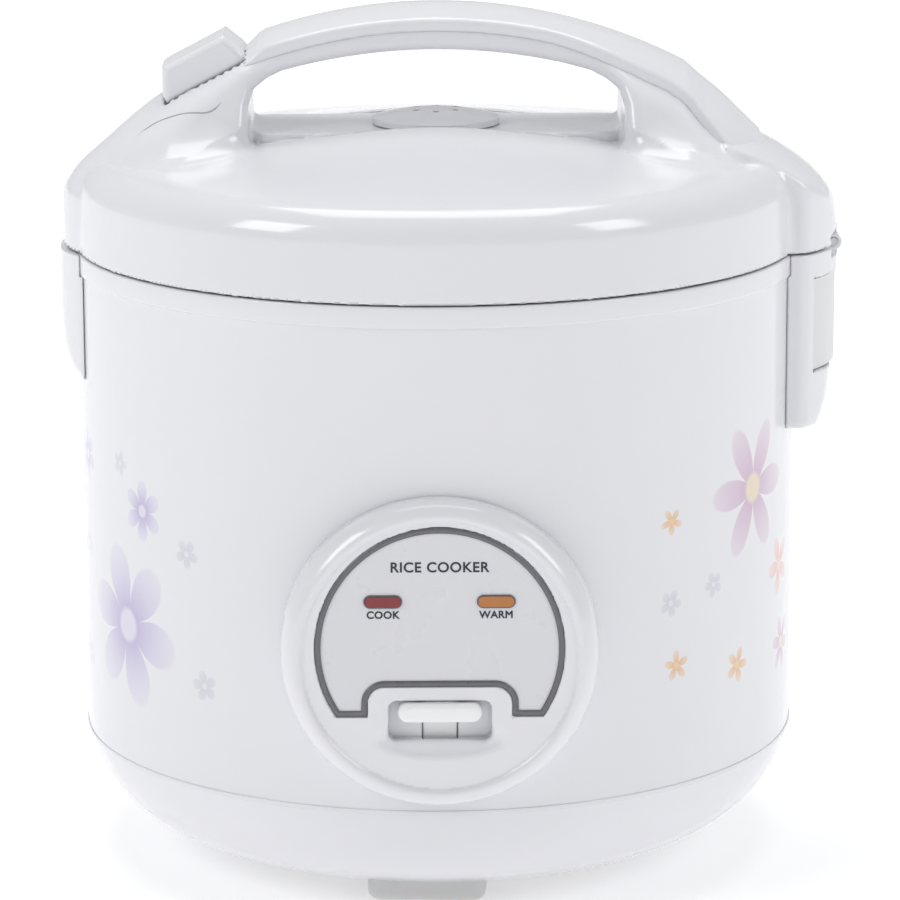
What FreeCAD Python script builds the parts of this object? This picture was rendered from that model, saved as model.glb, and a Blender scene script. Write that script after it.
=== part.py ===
import FreeCAD, Part

"""Electric rice cooker with a hinged lid, an arched handle and a round cook/warm panel.

Millimetres, +Z up, the front with the panel towards -Y, the lid's hinge towards +X and the release
button towards -X. Every sub-part is drawn about the upright axis of the shell, and its Placement then
moves it sideways, so that the origin lies under the middle of the whole cooker.
"""

import math
import os

import Sketcher

Vector = FreeCAD.Vector
Rotation = FreeCAD.Rotation
Placement = FreeCAD.Placement

# alias, value in millimetres or degrees, what it is
SIZES = [
    ("axis_shift", -4.45, "from the middle of the whole cooker to the shell's axis"),
    ("far", 400, "longer than any cut has to be"),
    ("shell_radius", 127.2, "steel shell, outside"),
    ("shell_wall", 1.0, "steel shell and inner casing"),
    ("shell_low", 42, "where the shell stands on the base pan"),
    ("shell_high", 208.7, "where the shell meets the top rim"),
    ("base_radius", 127.0, "base pan at its top edge"),
    ("base_low", 8.5, "underside of the base pan"),
    ("base_floor", 97, "radius of the base pan's flat underside"),
    ("base_bend", 44.6, "radius of the base pan's side in section"),
    ("base_wall", 2.4, "base pan"),
    ("base_bore", 66, "opening that the bottom cover closes"),
    ("cover_radius", 75.5, "bottom cover's flange"),
    ("cover_screws", 71, "circle of the bottom cover's screws"),
    ("foot_wide", 41, "foot across"),
    ("foot_deep", 18, "foot along the radius"),
    ("foot_place", 85, "middle of a foot from the axis"),
    ("foot_turn", -93, "direction of the front foot, a little off centre"),
    ("rim_radius", 128, "top rim and the lid's lower edge"),
    ("rim_high", 216.05, "top of the rim, just under the lid"),
    ("rim_ledge", 212, "ledge that the pot's flange rests on"),
    ("ledge_bore", 102.6, "hole through the rim"),
    ("recess_bore", 106.5, "recess for the pot's flange"),
    ("casing_radius", 107, "inner casing, outside"),
    ("casing_low", 66, "underside of the inner casing"),
    ("casing_high", 208, "top of the inner casing"),
    ("pot_radius", 101.5, "pot, outside"),
    ("pot_wall", 1.5, "pot"),
    ("pot_low", 87, "underside of the pot"),
    ("pot_high", 213.6, "top of the pot's flange"),
    ("pot_flange", 105.9, "pot's flange, outside"),
    ("pot_bend", 21.5, "pot's lower corner, outside"),
    ("plate_radius", 86, "heating plate"),
    ("plate_low", 74, "underside of the heating plate"),
    ("plate_high", 86.6, "top of the heating plate"),
    ("cap_radius", 14.5, "thermostat cap"),
    ("cap_high", 86.7, "top of the thermostat cap"),
    ("cap_low", 70.5, "lower edge of the thermostat cap"),
    ("bracket_low", 59.8, "thermostat bracket"),
    ("bracket_high", 61.2, "top of the thermostat bracket"),
    ("lever_back", 48, "from the axis to the switch lever's pivot"),
    ("lever_mid", 52.5, "height of the switch lever's pivot"),
    ("lever_half", 2.5, "half the thickness of the lever's arm"),
    ("lever_pin", 2.0, "lever pin, radius"),
    ("panel_mid", 102, "height of the label's centre"),
    ("bezel_mid", 99.4, "height of the bezel's centre"),
    ("panel_radius", 53.1, "panel bezel"),
    ("panel_back", 112, "back of the bezel's skirt, from the shell's axis"),
    ("panel_face", 135.5, "flat face of the bezel"),
    ("panel_crown", 137, "highest line of the bezel's round edge"),
    ("label_seat", 133, "floor of the recess for the label plate"),
    ("label_radius", 40.8, "middle of the trim line's round part"),
    ("label_base", -22.4, "middle of the trim line's straight part"),
    ("notch_half", 25, "half the notch over the switch window"),
    ("notch_top", -12.1, "top of that notch"),
    ("notch_bend", 6.6, "corner radius of that notch"),
    ("trim_half", 1.2, "half the trim line's width"),
    ("lens_place", 18.8, "lenses, sideways from the panel's centre"),
    ("lens_high", 16.3, "lenses, above the panel's centre"),
    ("lens_long", 12, "lens, length"),
    ("lens_tall", 3.6, "lens, height"),
    ("window_half", 17, "half the switch window's width"),
    ("window_low", -32.3, "bottom of the switch window"),
    ("window_high", -18, "top of the switch window"),
    ("lid_low", 216.6, "lower edge of the lid"),
    ("lid_wall_high", 239, "top of the lid's upright wall"),
    ("lid_shoulder", 116.5, "radius where the shoulder meets the dome"),
    ("shoulder_high", 248.6, "height where the shoulder meets the dome"),
    ("shoulder_bend", 11.5, "shoulder in section"),
    ("dome_high", 261, "top of the dome"),
    ("dome_bend", 560, "dome in section"),
    ("lid_wall", 2.4, "lid cover"),
    ("trough_half", 23.5, "half the flat under the handle"),
    ("trough_end", 66, "half the length of that flat"),
    ("trough_floor", 258, "height of that flat"),
    ("liner_low", 219.6, "underside of the lid liner"),
    ("liner_high", 221.6, "top of the lid liner"),
    ("liner_radius", 125, "lid liner"),
    ("handle_half", 19, "half the grip's width"),
    ("handle_top", 301.2, "top of the grip"),
    ("grip_bend", 191, "top of the grip, side view"),
    ("strip_thick", 4, "crowned strip along the grip's top"),
    ("strip_start", -66, "strip's end at the release button"),
    ("strip_bend_end", 88, "where the strip's arc turns into a straight slope"),
    ("strip_end", 115, "strip's end at the hinge cover"),
    ("latch_half", 30, "half the latch covers' width"),
    ("lid_latch_out", 132.6, "latch cover on the lid, from the axis"),
    ("body_latch_out", 134.1, "latch cover on the body, from the axis"),
    ("latch_bend", 52.5, "latch covers' outer face, seen from above"),
    ("hinge_half", 36, "half the hinge covers' width"),
    ("hinge_corner", 128.7, "hinge covers' corner, from the axis"),
    ("hinge_out", 143, "hinge covers' outermost line, from the axis"),
    ("hinge_bend", 52.5, "hinge covers' outer face, seen from above"),
    ("pivot_out", 140, "lid's hinge axis, from the shell's axis"),
    ("pivot_high", 217.3, "lid's hinge axis"),
    ("pivot_pin", 1.5, "hinge pin, radius"),
    ("knuckle", 2.9, "hinge knuckle, radius"),
    ("knuckle_room", 4.4, "room around the knuckles, radius"),
    ("dew_half", 30.6, "half the dew collector's width"),
    ("dew_low", 174.4, "underside of the dew collector"),
    ("dew_high", 206.6, "top of the dew collector"),
    ("dew_back", 128.4, "back of the dew collector, from the axis"),
    ("dew_out", 141.8, "front of the dew collector, from the axis"),
    ("button_lean", -27.7, "slope of the button's seat"),
    ("button_x", -81.5, "middle of the button's seat"),
    ("button_high", 277.5, "middle of the button's seat"),
    ("button_half", 15, "half the button's width"),
    ("stem_radius", 3, "button stem"),
    ("stem_long", 46.2, "from the button's seat to the stem's end"),
    ("hook_x", -116, "latch hook's pivot"),
    ("hook_high", 232, "latch hook's pivot"),
    ("inlet_half", 17, "half the power inlet's width"),
    ("inlet_low", 14, "underside of the power inlet"),
    ("inlet_high", 40, "top of the power inlet"),
    ("inlet_out", 138.5, "face of the power inlet, from the axis"),
    ("inlet_mid", 27, "height of the power inlet's pins"),
    ("vent_radius", 22.5, "steam cap"),
    ("vent_hole", 17, "hole for the steam seat"),
    ("vent_top", 263.5, "top of the steam cap"),
]

doc = FreeCAD.newDocument("rice_cooker")
sheet = doc.addObject("Spreadsheet::Sheet", "Sizes")
pieces = []


class Size:
    """A number together with the expression that works it out from the sheet."""

    def __init__(self, number, text):
        self.number = float(number)
        self.text = text

    def __add__(self, other):
        return Size(self.number + number(other), f"({self.text} + {text(other)})")

    def __radd__(self, other):
        return self + other

    def __sub__(self, other):
        return Size(self.number - number(other), f"({self.text} - {text(other)})")

    def __rsub__(self, other):
        return Size(number(other) - self.number, f"({text(other)} - {self.text})")

    def __mul__(self, other):
        return Size(self.number * number(other), f"({self.text} * {text(other)})")

    def __rmul__(self, other):
        return self * other

    def __truediv__(self, other):
        return Size(self.number / number(other), f"({self.text} / {text(other)})")

    def __neg__(self):
        return Size(-self.number, f"(0 - {self.text})")


class SheetSizes:
    """The sheet's cells by their aliases, such as d.shell_radius."""

    def __getattr__(self, alias):
        return Size(sheet.get(alias), f"Sizes.{alias}")


d = SheetSizes()


def number(size):
    return size.number if isinstance(size, Size) else float(size)


def text(size):
    return size.text if isinstance(size, Size) else repr(size)


def root_of(size):
    return Size(math.sqrt(size.number), f"sqrt({size.text})")


def fill_sheet():
    for row, (alias, value, note) in enumerate(SIZES, start=1):
        sheet.set(f"A{row}", note)
        sheet.set(f"B{row}", str(value))
        sheet.setAlias(f"B{row}", alias)
    doc.recompute()


# ---------------------------------------------------------------- drawing helpers

def bind(thing, **sizes):
    """Sets each property, by its expression where the size comes from the sheet."""
    for name, size in sizes.items():
        if isinstance(size, Size):
            thing.setExpression(name, size.text)
        else:
            setattr(thing, name, size)


def place(thing, x=0, y=0, z=0, turn=None):
    """Gives an object its position and its rotation."""
    turn = turn or Rotation()
    thing.Placement = Placement(Vector(number(x), number(y), number(z)), turn)
    for axis, size in (("x", x), ("y", y), ("z", z)):
        if isinstance(size, Size):
            thing.setExpression(f"Placement.Base.{axis}", size.text)


def finish(thing, label, x=0, y=0, z=0, turn=None):
    """Names a finished sub-part and moves it from the shell's axis to the cooker's own frame."""
    thing.Label = label
    place(thing, d.axis_shift + x, y, z, turn)
    pieces.append(thing)
    return thing


def new_body(name):
    return doc.addObject("PartDesign::Body", name)


def origin_of(body, role):
    return next(item for item in body.Origin.OriginFeatures if item.Role == role)


def new_sketch(body, plane, height=0):
    """A sketch on one of the body's own planes: XY, XZ or YZ, moved along the plane's normal."""
    sketch = body.newObject("Sketcher::SketchObject", f"{body.Name}_sketch")
    sketch.AttachmentSupport = (origin_of(body, f"{plane}_Plane"), [""])
    sketch.MapMode = "FlatFace"
    if isinstance(height, Size):
        sketch.setExpression("AttachmentOffset.Base.z", height.text)
    else:
        sketch.AttachmentOffset = Placement(Vector(0, 0, height), Rotation())
    return sketch


def pin(sketch, index, end, x, y):
    """Holds a point of the sketch at (x, y) from its origin."""
    for kind, size in (("DistanceX", x), ("DistanceY", y)):
        row = sketch.addConstraint(Sketcher.Constraint(kind, -1, 1, index, end, number(size)))
        if isinstance(size, Size):
            sketch.setExpression(f"Constraints[{row}]", size.text)


def measure(sketch, kind, index, size):
    row = sketch.addConstraint(Sketcher.Constraint(kind, index, number(size)))
    if isinstance(size, Size):
        sketch.setExpression(f"Constraints[{row}]", size.text)


def arc_between(start, end, radius):
    """An arc of less than half a turn, anticlockwise for a positive radius."""
    chord = end - start
    side = 1 if radius > 0 else -1
    height = math.sqrt(max(radius * radius - chord.Length ** 2 / 4, 0))
    across = Vector(-chord.y, chord.x, 0).normalize()
    centre = start + chord / 2 + across * (side * height)
    first, last = (start, end) if side > 0 else (end, start)
    angles = [math.atan2(p.y - centre.y, p.x - centre.x) for p in (first, last)]
    circle = Part.Circle(centre, Vector(0, 0, 1), abs(radius))
    return Part.ArcOfCircle(circle, angles[0], angles[1])


def outline(sketch, corners):
    """A closed outline. A corner is (x, y), or (x, y, radius) where the side that leaves it is an arc."""
    points = [Vector(number(corner[0]), number(corner[1]), 0) for corner in corners]
    sides = []
    for index, corner in enumerate(corners):
        start = points[index]
        end = points[(index + 1) % len(points)]
        if len(corner) == 2:
            side = sketch.addGeometry(Part.LineSegment(start, end), False)
            sides.append((side, 1, 2))
            continue
        radius = corner[2]
        side = sketch.addGeometry(arc_between(start, end, number(radius)), False)
        measure(sketch, "Radius", side, radius if number(radius) > 0 else -radius)
        sides.append((side, 1, 2) if number(radius) > 0 else (side, 2, 1))
    for index, (side, first, last) in enumerate(sides):
        following, follow_first, _ = sides[(index + 1) % len(sides)]
        sketch.addConstraint(Sketcher.Constraint("Coincident", side, last, following, follow_first))
        pin(sketch, side, first, corners[index][0], corners[index][1])


def rectangle(sketch, x_low, x_high, y_low, y_high):
    outline(sketch, [(x_low, y_low), (x_high, y_low), (x_high, y_high), (x_low, y_high)])


def stadium(sketch, x_mid, y_mid, long, tall):
    """A slot with round ends, drawn round its middle. Its end radius is a hair over half its height."""
    half = long / 2 - tall / 2
    low = y_mid - tall / 2
    high = y_mid + tall / 2
    side = tall * 0.5001
    left = x_mid - half
    right = x_mid + half
    outline(sketch, [(left, low), (right, low, side), (right, high), (left, high, side)])


def circle(sketch, radius, x=0, y=0):
    middle = Vector(number(x), number(y), 0)
    index = sketch.addGeometry(Part.Circle(middle, Vector(0, 0, 1), number(radius)))
    measure(sketch, "Radius", index, radius)
    pin(sketch, index, 3, x, y)


def feature(body, kind, sketch, **sizes):
    item = body.newObject(f"PartDesign::{kind}", f"{body.Name}_{kind.lower()}")
    item.Profile = (sketch, [""])
    bind(item, **sizes)
    body.Tip = item
    doc.recompute()
    return item


def pad(body, sketch, length, both=False):
    return feature(body, "Pad", sketch, Length=length, Midplane=both)


def pocket(body, sketch, length, both=False, up=False):
    """Cuts against the sketch's normal, along it, or both ways, and insists that something goes."""
    before = body.Shape.Volume
    item = feature(body, "Pocket", sketch, Length=length, Midplane=both, Reversed=up)
    if body.Shape.Volume > before - 0.01:
        raise ValueError(f"{item.Name} cuts nothing")
    return item


def spin(body, sketch, kind="Revolution"):
    """Turns a sketch about its own upright axis, as a solid or as a cut."""
    item = feature(body, kind, sketch)
    item.ReferenceAxis = (sketch, ["V_Axis"])
    item.Angle = 360
    doc.recompute()
    return item


def spun(name, corners):
    """A body turned about the Z axis from an outline of (radius, height)."""
    body = new_body(name)
    sketch = new_sketch(body, "XZ")
    outline(sketch, corners)
    spin(body, sketch)
    return body


def repeat(body, item, count):
    """Copies a feature evenly round the Z axis."""
    pattern = body.newObject("PartDesign::PolarPattern", f"{body.Name}_pattern")
    pattern.Originals = [item]
    pattern.Axis = (origin_of(body, "Z_Axis"), [""])
    pattern.Angle = 360
    pattern.Occurrences = count
    body.Tip = pattern
    doc.recompute()
    return pattern


def round_edges(body, radius, wanted):
    """Fillets the edges for which wanted(box) is true, given each edge's bounding box."""
    names = [f"Edge{row}" for row, edge in enumerate(body.Shape.Edges, 1) if wanted(edge.BoundBox)]
    if not names:
        raise ValueError(f"no edge of {body.Name} to round")
    before = body.Tip
    fillet = body.newObject("PartDesign::Fillet", f"{body.Name}_fillet")
    fillet.Base = (before, names)
    bind(fillet, Radius=radius)
    body.Tip = fillet
    doc.recompute()
    return fillet


def at_height(height):
    """Picks the level edges at a height."""
    return lambda box: abs(box.ZMin - number(height)) < 0.01 and abs(box.ZMax - number(height)) < 0.01


def upright(box):
    return box.XLength < 0.01 and box.YLength < 0.01 and box.ZLength > 0.5


def block(name, low, high):
    """A box between two corners."""
    item = doc.addObject("Part::Box", name)
    for side, start, end in zip(("Length", "Width", "Height"), low, high):
        bind(item, **{side: end - start})
    place(item, *low)
    return item


ALONG_Y = Rotation(Vector(1, 0, 0), -90)
ALONG_X = Rotation(Vector(0, 1, 0), 90)


def rod(name, radius, long, x=0, y=0, z=0, turn=None):
    """A cylinder from a point, upright unless it is turned."""
    item = doc.addObject("Part::Cylinder", name)
    bind(item, Radius=radius, Height=long)
    place(item, x, y, z, turn)
    return item


def joined(name, *solids):
    item = doc.addObject("Part::MultiFuse", name)
    item.Shapes = list(solids)
    item.Refine = True
    return item


def cut(name, base, *tools):
    """The base less its tools."""
    item = doc.addObject("Part::Cut", name)
    item.Base = base
    item.Tool = tools[0] if len(tools) == 1 else joined(f"{name}_tools", *tools)
    return item


def group(name, *solids):
    """Separate solids kept as one sub-part, such as a set of screws."""
    item = doc.addObject("Part::Compound", name)
    item.Links = list(solids)
    return item


def around(count, radius, start=0.0):
    """Evenly spaced directions: (x, y, angle in degrees) on a circle."""
    for index in range(count):
        angle = start + 360.0 * index / count
        yield radius * math.cos(math.radians(angle)), radius * math.sin(math.radians(angle)), angle


def screw(name, x, y, z, long, head=3.2, shank=1.6, head_high=1.6):
    """A pan-head screw standing on its head at (x, y, z)."""
    top = rod(f"{name}_head", head, head_high, x, y, z)
    stem = rod(f"{name}_shank", shank, long, x, y, z + head_high)
    return joined(name, top, stem)


def coil(name, radius, wire, low, long, pitch):
    """A helical spring that starts at its lower end."""
    body = new_body(name)
    sketch = new_sketch(body, "XZ")
    circle(sketch, wire, radius, low + wire)
    item = body.newObject("PartDesign::AdditiveHelix", f"{name}_helix")
    item.Profile = (sketch, [""])
    item.ReferenceAxis = (origin_of(body, "Z_Axis"), [""])
    item.Mode = 0
    item.Pitch = pitch
    item.Height = long - 2 * wire
    body.Tip = item
    doc.recompute()
    return body


def lid_section():
    """The lid's outer section as (radius, height), from below its lower edge to its top, filled to the axis."""
    return [
        (0, d.lid_low - 10),
        (d.rim_radius, d.lid_low - 10),
        (d.rim_radius, d.lid_wall_high, d.shoulder_bend),
        (d.lid_shoulder, d.shoulder_high, d.dome_bend),
        (0, d.dome_high),
    ]


# ---------------------------------------------------------------- base

def base_pan():
    wall = d.base_wall
    inner_bend = d.base_bend - wall
    body = spun("base_pan_body", [
        (d.base_bore, d.base_low),
        (d.base_floor, d.base_low, d.base_bend),
        (d.base_radius, d.shell_low),
        (d.shell_radius - d.shell_wall, d.shell_low),
        (d.shell_radius - d.shell_wall, d.shell_low + 4),
        (d.shell_radius - d.shell_wall - wall, d.shell_low + 4),
        (d.shell_radius - d.shell_wall - wall, d.shell_low, -inner_bend),
        (d.base_floor - 1, d.base_low + wall),
        (d.base_bore, d.base_low + wall),
    ])
    round_edges(body, 3.0, lambda box: at_height(d.base_low)(box) and box.XMax > 90)
    hole = block("inlet_hole", (-d.inlet_half, 90, d.inlet_low), (d.inlet_half, 140, d.inlet_high))
    pilots = [rod(f"pan_pilot_{index}", 1.6, 20, x, y, 0)
              for index, (x, y) in enumerate(cover_screw_places())]
    finish(cut("base_pan_cut", body, hole, *pilots), "base_pan")


def feet():
    feet_made = []
    for index, (x, y, angle) in enumerate(around(3, 1.0, d.foot_turn.number)):
        body = new_body(f"foot_{index}")
        sketch = new_sketch(body, "XY")
        rectangle(sketch, -d.foot_deep / 2, d.foot_deep / 2, -d.foot_wide / 2, d.foot_wide / 2)
        pad(body, sketch, d.base_low)
        round_edges(body, 5.0, upright)
        round_edges(body, 3.0, at_height(0))
        place(body, d.foot_place * x, d.foot_place * y, 0, Rotation(Vector(0, 0, 1), angle))
        feet_made.append(body)
    finish(group("feet_group", *feet_made), "feet")


def cover_screw_places():
    return [(x, y) for x, y, angle in around(3, d.cover_screws.number, -33.0)]


def bottom_cover():
    plug = d.base_bore - 0.4
    body = spun("bottom_cover_body", [
        (0, d.base_low - 1.5),
        (d.cover_radius, d.base_low - 1.5),
        (d.cover_radius, d.base_low),
        (plug, d.base_low),
        (plug, d.base_low + 0.9),
        (0, d.base_low + 0.9),
    ])
    for ring in (24, 38, 52):
        sketch = new_sketch(body, "XY", d.base_low - 2)
        stadium(sketch, ring, 0, 10, 3)
        slot = pocket(body, sketch, 10, both=True)
        repeat(body, slot, 12)
    holes = [rod(f"cover_hole_{index}", 1.6, 20, x, y, 0)
             for index, (x, y) in enumerate(cover_screw_places())]
    finish(cut("bottom_cover_cut", body, *holes), "bottom_cover")


def bottom_screws():
    screws = [screw(f"bottom_screw_{index}", x, y, d.base_low - 3.1, 8)
              for index, (x, y) in enumerate(cover_screw_places())]
    finish(group("bottom_screw_group", *screws), "bottom_screws")


def outer_shell():
    inner = d.shell_radius - d.shell_wall
    body = spun("outer_shell_body", [
        (inner, d.shell_low),
        (d.shell_radius, d.shell_low),
        (d.shell_radius, d.shell_high),
        (inner, d.shell_high),
    ])
    window = block("shell_window", (-30, -150, 69.5), (30, -100, 131))
    finish(cut("outer_shell_cut", body, window), "outer_shell")


def top_rim():
    body = spun("top_rim_body", [
        (d.ledge_bore, d.casing_high),
        (d.shell_radius - d.shell_wall - 2, d.casing_high),
        (d.shell_radius - d.shell_wall - 2, d.shell_high - 6),
        (d.shell_radius - d.shell_wall, d.shell_high - 6),
        (d.shell_radius - d.shell_wall, d.shell_high),
        (d.rim_radius, d.shell_high),
        (d.rim_radius, d.rim_high),
        (d.recess_bore, d.rim_high),
        (d.recess_bore, d.rim_ledge),
        (d.ledge_bore, d.rim_ledge),
    ])
    round_edges(body, 0.8, lambda box: box.XMax > 127.9 and box.ZLength < 0.01)
    slot = block("hook_slot", (-122.6, -8, 200), (-112.4, 8, 220))
    groove = rod("rim_groove", d.knuckle_room, 40, d.pivot_out, -20, d.pivot_high, ALONG_Y)
    finish(cut("top_rim_cut", body, slot, groove), "top_rim")


def latch_catch():
    catch = block("latch_catch", (0, 0, 0), (3.8, 18, 3.4))
    finish(catch, "latch_catch", -112.4, -9, d.casing_high - 3.4)


# ---------------------------------------------------------------- heating

def inner_casing():
    inner = d.casing_radius - d.shell_wall
    body = spun("inner_casing_body", [
        (20, d.casing_low),
        (d.casing_radius, d.casing_low),
        (d.casing_radius, d.casing_high),
        (inner, d.casing_high),
        (inner, d.casing_low + d.shell_wall),
        (20, d.casing_low + d.shell_wall),
    ])
    holes = [rod(f"terminal_hole_{index}", 6, 10, x, y, d.casing_low - 4)
             for index, (x, y) in enumerate(terminals())]
    finish(cut("inner_casing_cut", body, *holes), "inner_casing")


def terminals():
    return [(-19, 52.5), (19, 52.5)]


def heating_plate():
    body = spun("heating_plate", [
        (17, d.plate_low),
        (50, d.plate_low),
        (50, d.plate_low - 3),
        (62, d.plate_low - 3),
        (62, d.plate_low),
        (d.plate_radius, d.plate_low),
        (d.plate_radius, d.plate_high),
        (17, d.plate_high),
    ])
    round_edges(body, 2.0, lambda box: at_height(d.plate_high)(box) and box.XMax > 80)
    finish(body, "heating_plate")


def heater_terminals():
    posts = [rod(f"terminal_{index}", 4, 16, x, y, d.plate_low - 19)
             for index, (x, y) in enumerate(terminals())]
    finish(group("terminal_group", *posts), "heater_terminals")


def heater_posts():
    floor = d.casing_low + d.shell_wall
    posts = [rod(f"post_{index}", 4, d.plate_low - floor, x, y, floor)
             for index, (x, y, angle) in enumerate(around(3, 75, 30.0))]
    finish(group("post_group", *posts), "heater_posts")


def sensor_bracket():
    disc = rod("bracket_disc", 22, d.bracket_high - d.bracket_low, 0, 0, d.bracket_low)
    plate = cut("bracket_plate", disc,
                rod("bracket_hole", 6.5, 10, 0, 0, d.bracket_low - 4))
    legs = [rod(f"bracket_leg_{index}", 1.9, d.casing_low - d.bracket_high + 0.6, x, y, d.bracket_high - 0.6)
            for index, (x, y, angle) in enumerate(around(3, 20.0, 90.0))]
    legs_out = [rod(f"bracket_foot_{index}", 3.0, 1.0, x, y, d.casing_low - 1.0)
                for index, (x, y, angle) in enumerate(around(3, 21.5, 90.0))]
    finish(joined("sensor_bracket", plate, *legs, *legs_out), "sensor_bracket")


def sensor_spring():
    finish(coil("sensor_spring", 11.4, 0.6, d.bracket_high, 23.6, 3.4), "sensor_spring")


def sensor_cap():
    body = spun("sensor_cap", [
        (0, d.cap_high - 1.2),
        (d.cap_radius - 1.2, d.cap_high - 1.2),
        (d.cap_radius - 1.2, d.cap_low),
        (d.cap_radius, d.cap_low),
        (d.cap_radius, d.cap_high),
        (0, d.cap_high),
    ])
    round_edges(body, 1.0, lambda box: at_height(d.cap_high)(box))
    finish(body, "sensor_cap")


def magnet_rod():
    foot = rod("magnet_foot", 5, 0.8, 0, 0, 55.6)
    stem = rod("magnet_stem", 2.5, 20, 0, 0, 55.6)
    magnet = rod("magnet_disc", 9, 6, 0, 0, 74)
    finish(joined("magnet_rod", foot, stem, magnet), "magnet_rod")


def keep_warm_thermostat():
    finish(rod("keep_warm_thermostat", 8, 6.4), "keep_warm_thermostat", 30, 20, d.plate_low - 6.4)


def thermal_fuse():
    finish(rod("thermal_fuse", 2.6, 24), "thermal_fuse", -38, -12, d.plate_low - 2.6, ALONG_Y)


def inner_pot():
    outer = d.pot_radius
    inner = d.pot_radius - d.pot_wall
    flange_low = d.pot_high - 1.3
    body = spun("inner_pot", [
        (0, d.pot_low),
        (outer - d.pot_bend, d.pot_low, d.pot_bend),
        (outer, d.pot_low + d.pot_bend),
        (outer, flange_low),
        (d.pot_flange, flange_low),
        (d.pot_flange, d.pot_high),
        (inner, d.pot_high),
        (inner, d.pot_low + d.pot_bend, -(d.pot_bend - d.pot_wall)),
        (outer - d.pot_bend, d.pot_low + d.pot_wall),
        (0, d.pot_low + d.pot_wall),
    ])
    round_edges(body, 0.5, lambda box: box.XMax > 105.8 and box.ZLength < 0.01)
    finish(body, "inner_pot")


# ---------------------------------------------------------------- switch

def switch_lever():
    body = new_body("switch_lever_body")
    side = new_sketch(body, "YZ")
    low = d.lever_mid - d.lever_half
    high = d.lever_mid + d.lever_half
    outline(side, [
        (-119, low),
        (6, low),
        (6, high),
        (-115, high),
        (-115, 83.5),
        (-136.5, 83.5, 8),
        (-136.5, 77),
        (-119, 77),
    ])
    pad(body, side, 10, both=True)
    tab = new_sketch(body, "YZ")
    outline(tab, [(-121, 77), (-121, 83.5), (-136.5, 83.5, 8), (-136.5, 77)])
    pad(body, tab, 28, both=True)
    round_edges(body, 1.4, lambda box: box.YMax < -130 and box.XLength < 0.01 and box.ZLength > 5)
    bore = rod("lever_bore", d.lever_pin + 0.06, 20, -10, -d.lever_back, d.lever_mid, ALONG_X)
    finish(cut("switch_lever_cut", body, bore), "switch_lever")


def lever_bracket():
    ears = [block(f"bracket_ear_{index}", (x, -53, 48.5), (x + 2, -43, d.casing_low))
            for index, x in enumerate((-7.5, 5.5))]
    bridge = block("bracket_bridge", (-14, -56, 64.4), (14, -40, d.casing_low))
    bore = rod("bracket_bore", d.lever_pin, 20, -10, -d.lever_back, d.lever_mid, ALONG_X)
    finish(cut("lever_bracket_cut", joined("lever_bracket_joined", bridge, *ears), bore), "lever_bracket")


def lever_pin():
    finish(rod("lever_pin", d.lever_pin, 18), "lever_pin", -9, -d.lever_back, d.lever_mid, ALONG_X)


def micro_switch():
    case = block("switch_case", (-5, -39.5, 58), (5, -23, d.casing_low))
    key = rod("switch_key", 1.5, 2, 0, -27, 57.3)
    finish(joined("micro_switch", case, key), "micro_switch")


# ---------------------------------------------------------------- panel, drawn facing +Z, then turned

FACING_FRONT = Rotation(Vector(1, 0, 0), 90)


def label_outline(sketch, grow):
    """The label's outline, a circle with a flat base and a notch, moved outwards by grow."""
    radius = d.label_radius + grow
    base = d.label_base - grow
    across = root_of(radius * radius - base * base)
    notch = d.notch_half - grow
    top = d.notch_top - grow
    bend = d.notch_bend - grow
    outline(sketch, [
        (across, base, radius),
        (0, radius, radius),
        (-across, base),
        (-notch, base),
        (-notch, top - bend, -bend),
        (bend - notch, top),
        (notch - bend, top, -bend),
        (notch, top - bend),
        (notch, base),
    ])


def panel_bezel():
    body = new_body("panel_bezel_body")
    section = new_sketch(body, "XZ", d.panel_mid - d.bezel_mid)
    outline(section, [
        (0, d.panel_face - 4.9),
        (d.panel_radius - 4.5, d.panel_face - 4.9),
        (d.panel_radius - 4.5, d.panel_back),
        (d.panel_radius, d.panel_back),
        (d.panel_radius, d.panel_crown - 9, 9),
        (d.panel_radius - 5, d.panel_crown, 9),
        (d.panel_radius - 7.5, d.panel_face),
        (0, d.panel_face),
    ])
    spin(body, section)
    seat = new_sketch(body, "XY", d.label_seat)
    label_outline(seat, d.trim_half)
    pocket(body, seat, 10, up=True)
    window = new_sketch(body, "XY", d.panel_face)
    rectangle(window, -d.window_half, d.window_half, d.window_low, d.window_high)
    pocket(body, window, 20, both=True)
    shell = rod("bezel_shell_tool", d.shell_radius + 0.05, 140, 0, -70, 0, ALONG_Y)
    scoop = doc.addObject("Part::Ellipsoid", "finger_scoop")
    bind(scoop, Radius1=3.2, Radius2=21.0, Radius3=6.0)
    place(scoop, 0, -32, d.panel_face + 0.4)
    pilots = [rod(f"bezel_pilot_{x}", 1.4, 16, x, y, 116.2) for x, y in panel_screw_places()]
    bezel = cut("panel_bezel_cut", body, shell, scoop, *pilots)
    finish(bezel, "panel_bezel", 0, 0, d.panel_mid, FACING_FRONT)


def panel_trim():
    body = new_body("panel_trim")
    sketch = new_sketch(body, "XY", d.label_seat)
    label_outline(sketch, d.trim_half)
    label_outline(sketch, -d.trim_half)
    pad(body, sketch, 2.2)
    finish(body, "panel_trim", 0, 0, d.panel_mid, FACING_FRONT)


def panel_plate():
    body = new_body("panel_plate")
    sketch = new_sketch(body, "XY", d.label_seat)
    label_outline(sketch, -d.trim_half)
    for side in (-1, 1):
        stadium(sketch, d.lens_place * side, d.lens_high, d.lens_long, d.lens_tall)
    pad(body, sketch, 1.6)
    finish(body, "panel_plate", 0, 0, d.panel_mid, FACING_FRONT)


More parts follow.
